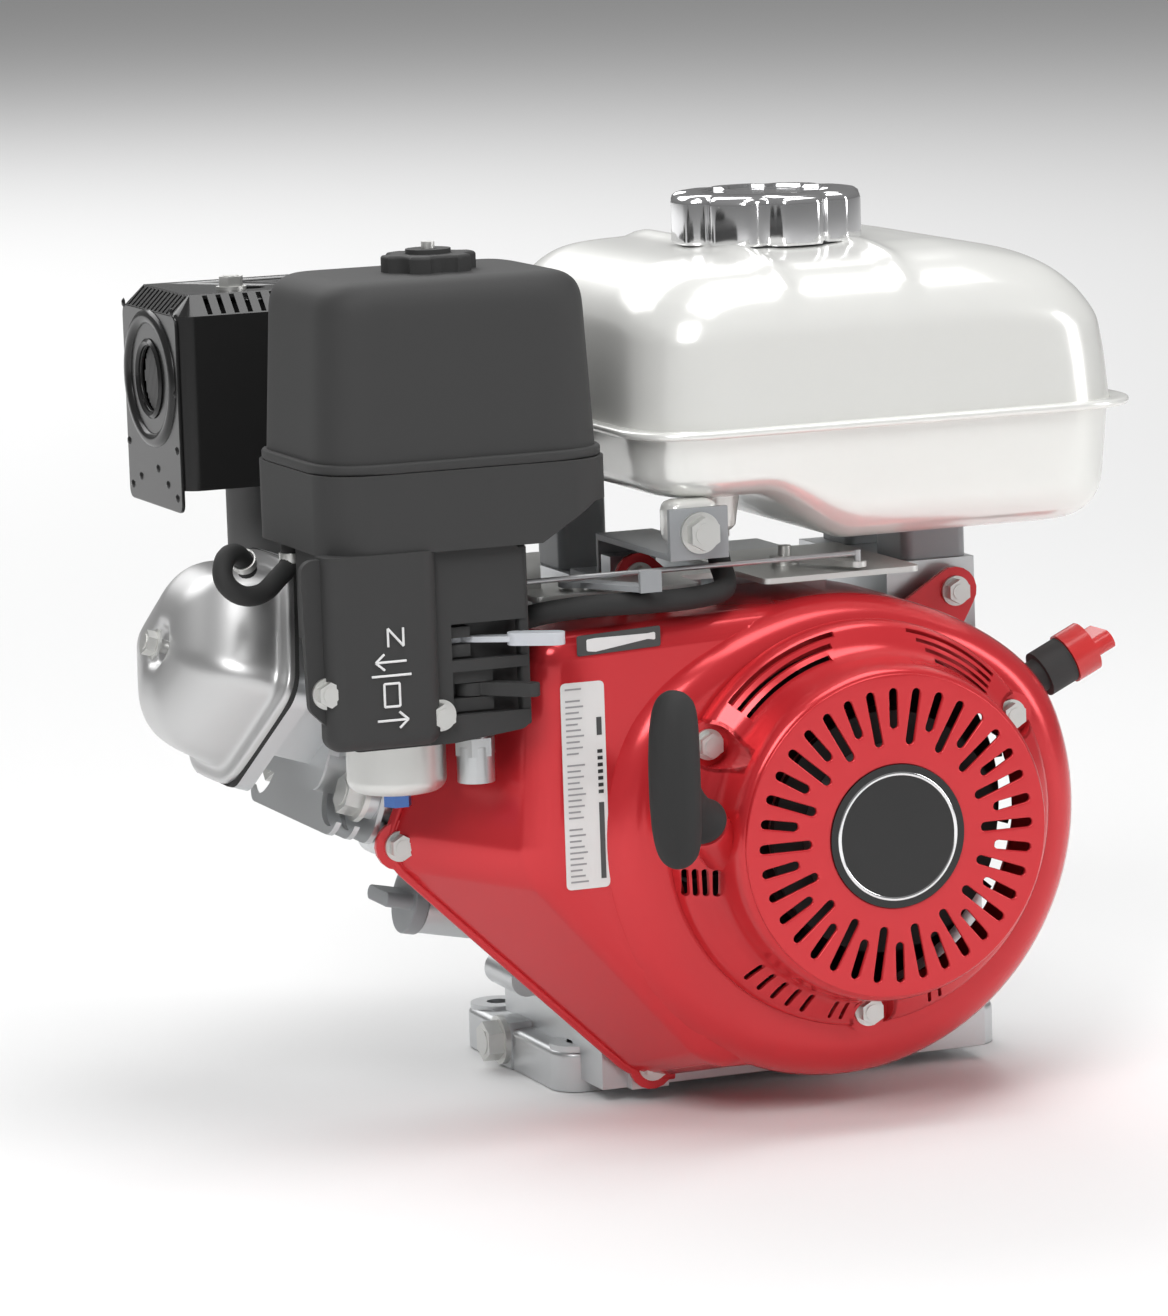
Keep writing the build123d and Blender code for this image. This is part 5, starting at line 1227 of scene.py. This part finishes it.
class ENGINE_OT_muffler_guard(bpy.types.Operator):
    """Fold the muffler's guard with its slotted chamfer, outlet plate and screen"""
    bl_idname = "engine.muffler_guard"
    bl_label = "Muffler Guard"

    def execute(self, context):
        low, high = working_box("muffler_guard")
        bottom = low.z + 10
        guard = block("guard", (low.x, high.x + 4), (low.y, high.y), (bottom, high.z))
        with editing(guard):
            choose(guard, "EDGE", lambda e: abs(direction(e).z) > 0.9)
            bevel(9 * MM, 5)
            top = at(0, 0, high.z).z
            choose(guard, "EDGE", on_level(Z_AXIS, top))
            bevel(sizes().guard_chamfer, 1)
            base, end = at(0, 0, bottom).z, at(high.x + 4, 0, 0).x
            choose(guard, "FACE", facing_level(Z_AXIS, base))
            bpy.ops.mesh.delete(type="FACE")
            take_all()
            bpy.ops.mesh.bisect(plane_co=at(high.x, 0, 0), plane_no=(1, 0, 0), clear_outer=True)
        soften(guard, 1.6, 3, 25)
        thicken(guard, 1.2)
        level = (high.z - SLOT_REACH, high.z + 2)
        for i in range(CHAMFER_SLOTS):
            y = low.y + 12 + i * (high.y - low.y - 24) / (CHAMFER_SLOTS - 1)
            carve(guard, block("slot", (low.x - 2, low.x + SLOT_REACH),
                               (y - SLOT_HALF, y + SLOT_HALF), level))
        for i in range(SIDE_SLOTS):
            x = low.x + 16 + i * 6.4
            carve(guard, block("slot", (x - SLOT_HALF, x + SLOT_HALF),
                               (low.y - 2, low.y + SLOT_REACH), level))
        for x in (low.x + 44, high.x - 52):
            carve(guard, bar("hole", 6.5, (x, low.y + 26, high.z - 6), (x, low.y + 26, high.z + 4), 32))
        y, z = OUTLET_Y, OUTLET_Z
        carve(guard, bar("outlet", OUTLET_R, (low.x - 4, y, z), (low.x + 6, y, z)))
        half = (high.y - low.y) / 2 - 4
        panel = soft_corners([(-half, low.z - z), (half, low.z - z), (half, high.z - 9 - z),
                              (-half, high.z - 9 - z)], 5)
        shift = (low.y + high.y) / 2 - y
        flap = plate("flap", [(px - shift, pz) for px, pz in panel],
                     [circle_points(OUTLET_R, 64)], 1.6, 0.5,
                     facing_left(low.x + 0.6, y, z))
        guard = together("muffler_guard_folded", guard, flap, *self.outlet_trim(low.x, y, z))
        finished(guard, "muffler_guard_folded", "black_enamel", replaces=["muffler_guard"])
        self.screen(low.x + 2.4, y, z)
        return {"FINISHED"}

    def outlet_trim(self, x, y, z):
        """Pressed oval ring, inner lip and dimples of the outlet plate."""
        bead = [(29.0 + 3.4 * math.cos(math.radians(a)), 2.3 * math.sin(math.radians(a)))
                for a in range(0, 360, 30)]
        ring = turned("ring", bead, at(x, y, z), (-1, 0, 0), 64, True)
        reshape(ring, lambda px, py, pz: (px, y + (py - y) * 1.12, z + (pz - z) * 0.98))
        lip = turned("lip", [(15.2, -1), (17.2, -1), (18.4, 0.8), (17.0, 2.0), (15.4, 1.0)],
                     at(x, y, z), (-1, 0, 0), 48, True)
        dimples = []
        for dy, dz in ((-35, 33), (-35, -4), (-35, -30), (36, 32), (36, -6), (36, -32), (-6, -41),
                       (-20, -47), (20, -47), (-33, -52), (33, -52)):
            dimples.append(turned("dimple", [(0, 1.0), (1.4, 0.8), (2.3, 0)], at(x, y + dy, z + dz),
                                  (-1, 0, 0), 16))
        return [ring, lip, *dimples]

    def screen(self, x, y, z):
        """Woven spark screen behind the outlet."""
        wires, radius, pitch = [], 15.4, 1.9
        count = int(radius / pitch)
        for i in range(-count, count + 1):
            offset = i * pitch
            reach = math.sqrt(radius * radius - offset * offset)
            wires.append(bar("wire", 0.32, (x, y + offset, z - reach), (x, y + offset, z + reach), 6))
            wires.append(bar("wire", 0.32, (x + 0.5, y - reach, z + offset),
                             (x + 0.5, y + reach, z + offset), 6))
        finished(together("spark_screen", *wires), "spark_screen", "cast_iron", "engine",
                 "machined_steel", weighted=False)


# ---------------------------------------------------------------- head cover
TILT = math.radians(18)
COVER_OUTLINE = [(75, -6), (26, -57), (-26, -57), (-75, -6), (-30, 48), (30, 48)]


def head_frame(height):
    """Place on the cylinder's line: local X to the starter, Y up across it, Z outwards."""
    up = Vector((-math.cos(TILT), 0, math.sin(TILT)))
    side = Vector((0, -1, 0))
    across = up.cross(side)
    turn = Matrix((side, across, up)).transposed().to_4x4()
    return Matrix.Translation(at(0, 12, SHAFT_Z) + up * height * MM) @ turn


class ENGINE_OT_head_cover(bpy.types.Operator):
    """Draw the polished head cover: flange, dome and dished bolt seat"""
    bl_idname = "engine.head_cover"
    bl_label = "Head Cover"

    def execute(self, context):
        rim = soft_corners(COVER_OUTLINE, 14, 4)
        rings = [(1.0, 0.0), (1.0, 2.2), (0.985, 3.4), (0.9, 3.8), (0.87, 5.0), (0.86, 9.0),
                 (0.845, 15.0), (0.81, 22.0), (0.745, 29.0), (0.65, 34.5), (0.53, 38.6),
                 (0.42, 40.6), (0.3, 41.6), (0.22, 41.4), (0.175, 39.8), (0.15, 37.6), (0.11, 37.0)]
        cover = face_of("head", [Vector((x * MM, y * MM, 0)) for x, y in rim])
        with editing(cover):
            take_all()
            scale, height = 1.0, 0.0
            for share, level in rings[1:]:
                extrude((0, 0, (level - height) * MM))
                factor = share / scale
                bpy.ops.transform.resize(value=(factor, factor, 1), center_override=(0, -0.004, 0))
                scale, height = share, level
            choose(cover, "FACE", lambda f: len(f.verts) > 8 and abs(f.calc_center_median().z) < WELD)
            bpy.ops.mesh.delete(type="FACE")
        point_outwards(cover)
        apply_modifier(cover, "SUBSURF", levels=2, render_levels=2)
        thicken(cover, 1.2)
        cover.data.transform(head_frame(254))
        finished(cover, "head_cover_pressing", "pressed_steel", replaces=["head_cover"], angle=50,
                 weighted=False)
        return {"FINISHED"}


# ---------------------------------------------------------------- hoses and small parts
FUEL_HOSE = [(-166, -86, 228), (-150, -97, 235), (-128, -107, 239), (-105, -111, 239.3),
             (-82, -111, 238.6), (-60, -106, 239.2), (-49, -93, 240.5), (-48, -78, 252), (-48, -78, 270)]
BREATHER = [(-255.8, -40, 258.2), (-262, -50, 268), (-272, -58, 268), (-276, -64, 258),
            (-268, -66, 250), (-256, -62, 250), (-247, -56, 256), (-239, -52, 261), (-239, -52, 271)]


class ENGINE_OT_hoses(bpy.types.Operator):
    """Lay the fuel hose and the breather tube and put clips on their ends"""
    bl_idname = "engine.hoses"
    bl_label = "Hoses"

    def clip(self, name, here, beyond, radius):
        axis = (Vector(beyond) - Vector(here)).normalized()
        profile = [(radius + 0.1, -2.2), (radius + 1.1, -2.2), (radius + 1.1, 2.2), (radius + 0.1, 2.2)]
        band = turned(name, profile, at(*(Vector(here) + axis * 7)), axis, 32, True)
        soften(band, 0.3, 2, 40)
        return band

    def execute(self, context):
        hoses = (("fuel_hose_rubber", "fuel_hose", FUEL_HOSE, 5.0),
                 ("breather_rubber", "breather_tube", BREATHER, 4.5))
        for name, node, route, radius in hoses:
            hose = tube_along(name, route, radius, resolution=14, sides=6)
            hose.data.materials.append(bpy.data.materials["black_rubber"])
            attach(hose, "engine")
            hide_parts(node)
            ends = [self.clip("clip", route[0], route[1], radius),
                    self.clip("clip", route[-1], route[-2], radius)]
            finished(together("clips", *ends), f"{node}_clips", "zinc_plate")
        return {"FINISHED"}


EASED_PARTS = (     # node, finish, body, width of the eased edge, slot
    ("oil_cap", "grey_plastic", "filler_cap", 1.2, "grey_plastic"),
    ("switch_knob", "red_plastic", "ignition_switch", 1.2, "red_plastic"),
    ("choke_lever", "pale_plastic", "choke", 0.7, "grey_plastic"),
    ("fuel_valve_lever", "black_plastic", "fuel_valve", 0.9, "black_plastic"),
    ("tank_brackets", "grey_plastic", "engine", 0.8, "cast_aluminium"),
    ("sediment_cup", "cast_aluminium", "engine", 0.5, "cast_aluminium"))


class ENGINE_OT_softened_parts(bpy.types.Operator):
    """Ease the sharp edges of the small moulded and pressed parts"""
    bl_idname = "engine.softened_parts"
    bl_label = "Softened Parts"

    def execute(self, context):
        for node, finish, body, width, slot in EASED_PARTS:
            piece = copy_of(node, node + "_eased")
            soften(piece, width, 2, 30)
            finished(piece, node + "_eased", finish, body, slot, [node])
        return {"FINISHED"}


class ENGINE_OT_labels(bpy.types.Operator):
    """Stick the plain labels on the side panel and ring the badge"""
    bl_idname = "engine.labels"
    bl_label = "Labels"

    def execute(self, context):
        front = DRUM_FRONT + sizes().panel_drop / MM
        panel = [(-137, 114), (-116.5, 114), (-116.5, 206), (-137, 206)]
        paper = plate("paper", soft_corners(panel, 2.5), [], 0.3, 0.08, facing_front(front - 0.2))
        finished(paper, "side_label", "label_paper", "engine", "badge")
        ink, rows = (front - 0.5, front - 0.38), []
        for i in range(34):
            z = 117 + i * 2.6
            reach = 13.5 - 4.5 * ((i * 7) % 5) / 4
            if i % 11 == 10:
                continue
            rows.append(block("row", (-135, -135 + reach * 0.62), ink, (z, z + 0.75)))
        finished(together("rows", *rows), "side_label_rows", "label_grey", "engine", "badge")
        bars = [block("bar", (-120.6, -118.2), ink, (z, z + tall))
                for z, tall in ((118, 34), (156, 1.6), (159, 1.6), (162, 1.6), (165, 1.6),
                                (168, 1.6), (171, 1.6), (174, 1.6), (182, 8))]
        finished(together("bars", *bars), "side_label_bars", "label_ink", "engine", "badge")
        strip = [(-128.5, 217.5), (-89, 219), (-89, 228), (-128.5, 226.5)]
        strip = plate("strip", soft_corners(strip, 1.2), [], 0.3, 0.08, facing_front(front - 0.2))
        finished(strip, "speed_label", "label_ink", "engine", "badge")
        wedge = [(-124, 219.6), (-120, 219), (-95, 222.6), (-91.5, 222), (-91.5, 225.4),
                 (-95, 225), (-120, 225), (-124, 224.6)]
        wedge = plate("wedge", soft_corners(wedge, 0.8), [], 0.2, 0.05, facing_front(front - 0.45))
        finished(wedge, "speed_label_mark", "printed_mark", "engine", "badge")
        low, high = STARTER_FRONT - 0.8, STARTER_FRONT - 1.05
        ring = shaft_turned("ring", [(27.2, low), (27.6, high), (28.3, high), (28.7, low)], 96, True)
        finished(ring, "badge_ring", "chrome", "engine", "badge")
        return {"FINISHED"}


# ---------------------------------------------------------------- stage
VIEW_AZIMUTH, VIEW_ELEVATION, VIEW_ROLL = -21.41, 8.72, -1.92
VIEW_DISTANCE, VIEW_LENS = 2.9035, 173.84
VIEW_TARGET = (-82.5, 0.0, 198.65)


class ENGINE_OT_stage(bpy.types.Operator):
    """Set the pale floor, the soft studio lights and the camera"""
    bl_idname = "engine.stage"
    bl_label = "Stage"

    def soft_box(self, name, place, width, height, power, tint=(1, 1, 1), aim=(-0.05, -0.05, 0.19)):
        light = bpy.data.lights.new(name, "AREA")
        light.shape, light.size, light.size_y = "RECTANGLE", width, height
        light.energy, light.color = power, tint
        obj = new_object(name, light)
        obj.location = place
        obj.rotation_euler = (Vector(aim) - Vector(place)).to_track_quat("-Z", "Y").to_euler()

    def surroundings(self):
        world = bpy.data.worlds.new("studio")
        bpy.context.scene.world = world
        world.use_nodes = True
        tree = world.node_tree
        coordinates = tree.nodes.new("ShaderNodeTexCoord")
        split = tree.nodes.new("ShaderNodeSeparateXYZ")
        wire(tree, coordinates.outputs["Generated"], split.inputs[0])
        ramp = tree.nodes.new("ShaderNodeValToRGB")
        stops = ((0.0, (0.72, 0.72, 0.72, 1)), (0.9, (1, 1, 1, 1)))
        for element, (position, colour) in zip(ramp.color_ramp.elements, stops):
            element.position, element.color = position, colour
        wire(tree, split.outputs["Z"], ramp.inputs["Fac"])
        background = tree.nodes["Background"]
        wire(tree, ramp.outputs["Color"], background.inputs["Color"])
        path = tree.nodes.new("ShaderNodeLightPath")
        strength = tree.nodes.new("ShaderNodeMapRange")
        wire(tree, path.outputs["Is Camera Ray"], strength.inputs["Value"])
        strength.inputs["To Min"].default_value, strength.inputs["To Max"].default_value = 0.27, 1.0
        wire(tree, strength.outputs["Result"], background.inputs["Strength"])

    def execute(self, context):
        floor = primitive("floor", "plane", size=60, location=(0, 0, -0.0005))
        paint = bpy.data.materials.new("floor_paint")
        paint.use_nodes = True
        shader = paint.node_tree.nodes["Principled BSDF"]
        shader.inputs["Base Color"].default_value = (0.86, 0.86, 0.86, 1)
        shader.inputs["Roughness"].default_value = 0.9
        floor.data.materials.append(paint)
        self.surroundings()
        self.soft_box("key", (-1.3, -1.6, 1.7), 0.9, 1.2, 29)
        self.soft_box("top", (0.2, -0.4, 2.2), 1.6, 1.0, 23)
        self.soft_box("backdrop", (-0.6, 4.2, 3.4), 5, 4, 190, (1, 1, 1), (-0.6, 3.4, 0))
        self.soft_box("side", (1.9, -1.3, 0.9), 0.5, 1.4, 14)
        azimuth, elevation = math.radians(VIEW_AZIMUTH), math.radians(VIEW_ELEVATION)
        back = Vector((math.sin(azimuth) * math.cos(elevation),
                       -math.cos(azimuth) * math.cos(elevation), math.sin(elevation)))
        camera = new_object("camera", bpy.data.cameras.new("camera"))
        camera.data.lens, camera.data.sensor_width = VIEW_LENS, 36
        camera.location = at(*VIEW_TARGET) + back * VIEW_DISTANCE
        turn = (-back).to_track_quat("-Z", "Y").to_matrix()
        camera.rotation_euler = (turn @ Matrix.Rotation(math.radians(VIEW_ROLL), 3, "Z")).to_euler()
        camera.data.clip_end = 100
        context.scene.camera = camera
        context.scene.view_settings.view_transform = "Standard"
        return {"FINISHED"}


OPERATORS = (
    ENGINE_OT_finishes, ENGINE_OT_cad_finishes, ENGINE_OT_fan_cover, ENGINE_OT_starter_housing,
    ENGINE_OT_starter_grip, ENGINE_OT_starter_rope, ENGINE_OT_tank, ENGINE_OT_fuel_cap,
    ENGINE_OT_air_cleaner, ENGINE_OT_intake, ENGINE_OT_muffler_guard, ENGINE_OT_head_cover,
    ENGINE_OT_hoses, ENGINE_OT_softened_parts, ENGINE_OT_labels, ENGINE_OT_stage)


class ENGINE_PT_looks(bpy.types.Panel):
    """Sidebar panel with the engine's sizes, colours and pieces"""
    bl_idname = "ENGINE_PT_looks"
    bl_label = "Engine"
    bl_space_type = "VIEW_3D"
    bl_region_type = "UI"
    bl_category = "Engine"

    def draw(self, context):
        layout = self.layout
        for group in (context.scene.engine_sizes, context.scene.engine_colours):
            column = layout.column(align=True)
            for name in group.__annotations__:
                column.prop(group, name)
        for operator in OPERATORS:
            layout.operator(operator.bl_idname)


CLASSES = (EngineSizes, EngineColours, *OPERATORS, ENGINE_PT_looks)


def register():
    for item in CLASSES:
        bpy.utils.register_class(item)
    bpy.types.Scene.engine_sizes = PointerProperty(type=EngineSizes)
    bpy.types.Scene.engine_colours = PointerProperty(type=EngineColours)


def unregister():
    del bpy.types.Scene.engine_sizes
    del bpy.types.Scene.engine_colours
    for item in reversed(CLASSES):
        bpy.utils.unregister_class(item)


def main():
    register()
    for operator in OPERATORS:
        category, name = operator.bl_idname.split(".")
        getattr(getattr(bpy.ops, category), name)()


if __name__ == "__main__":
    main()
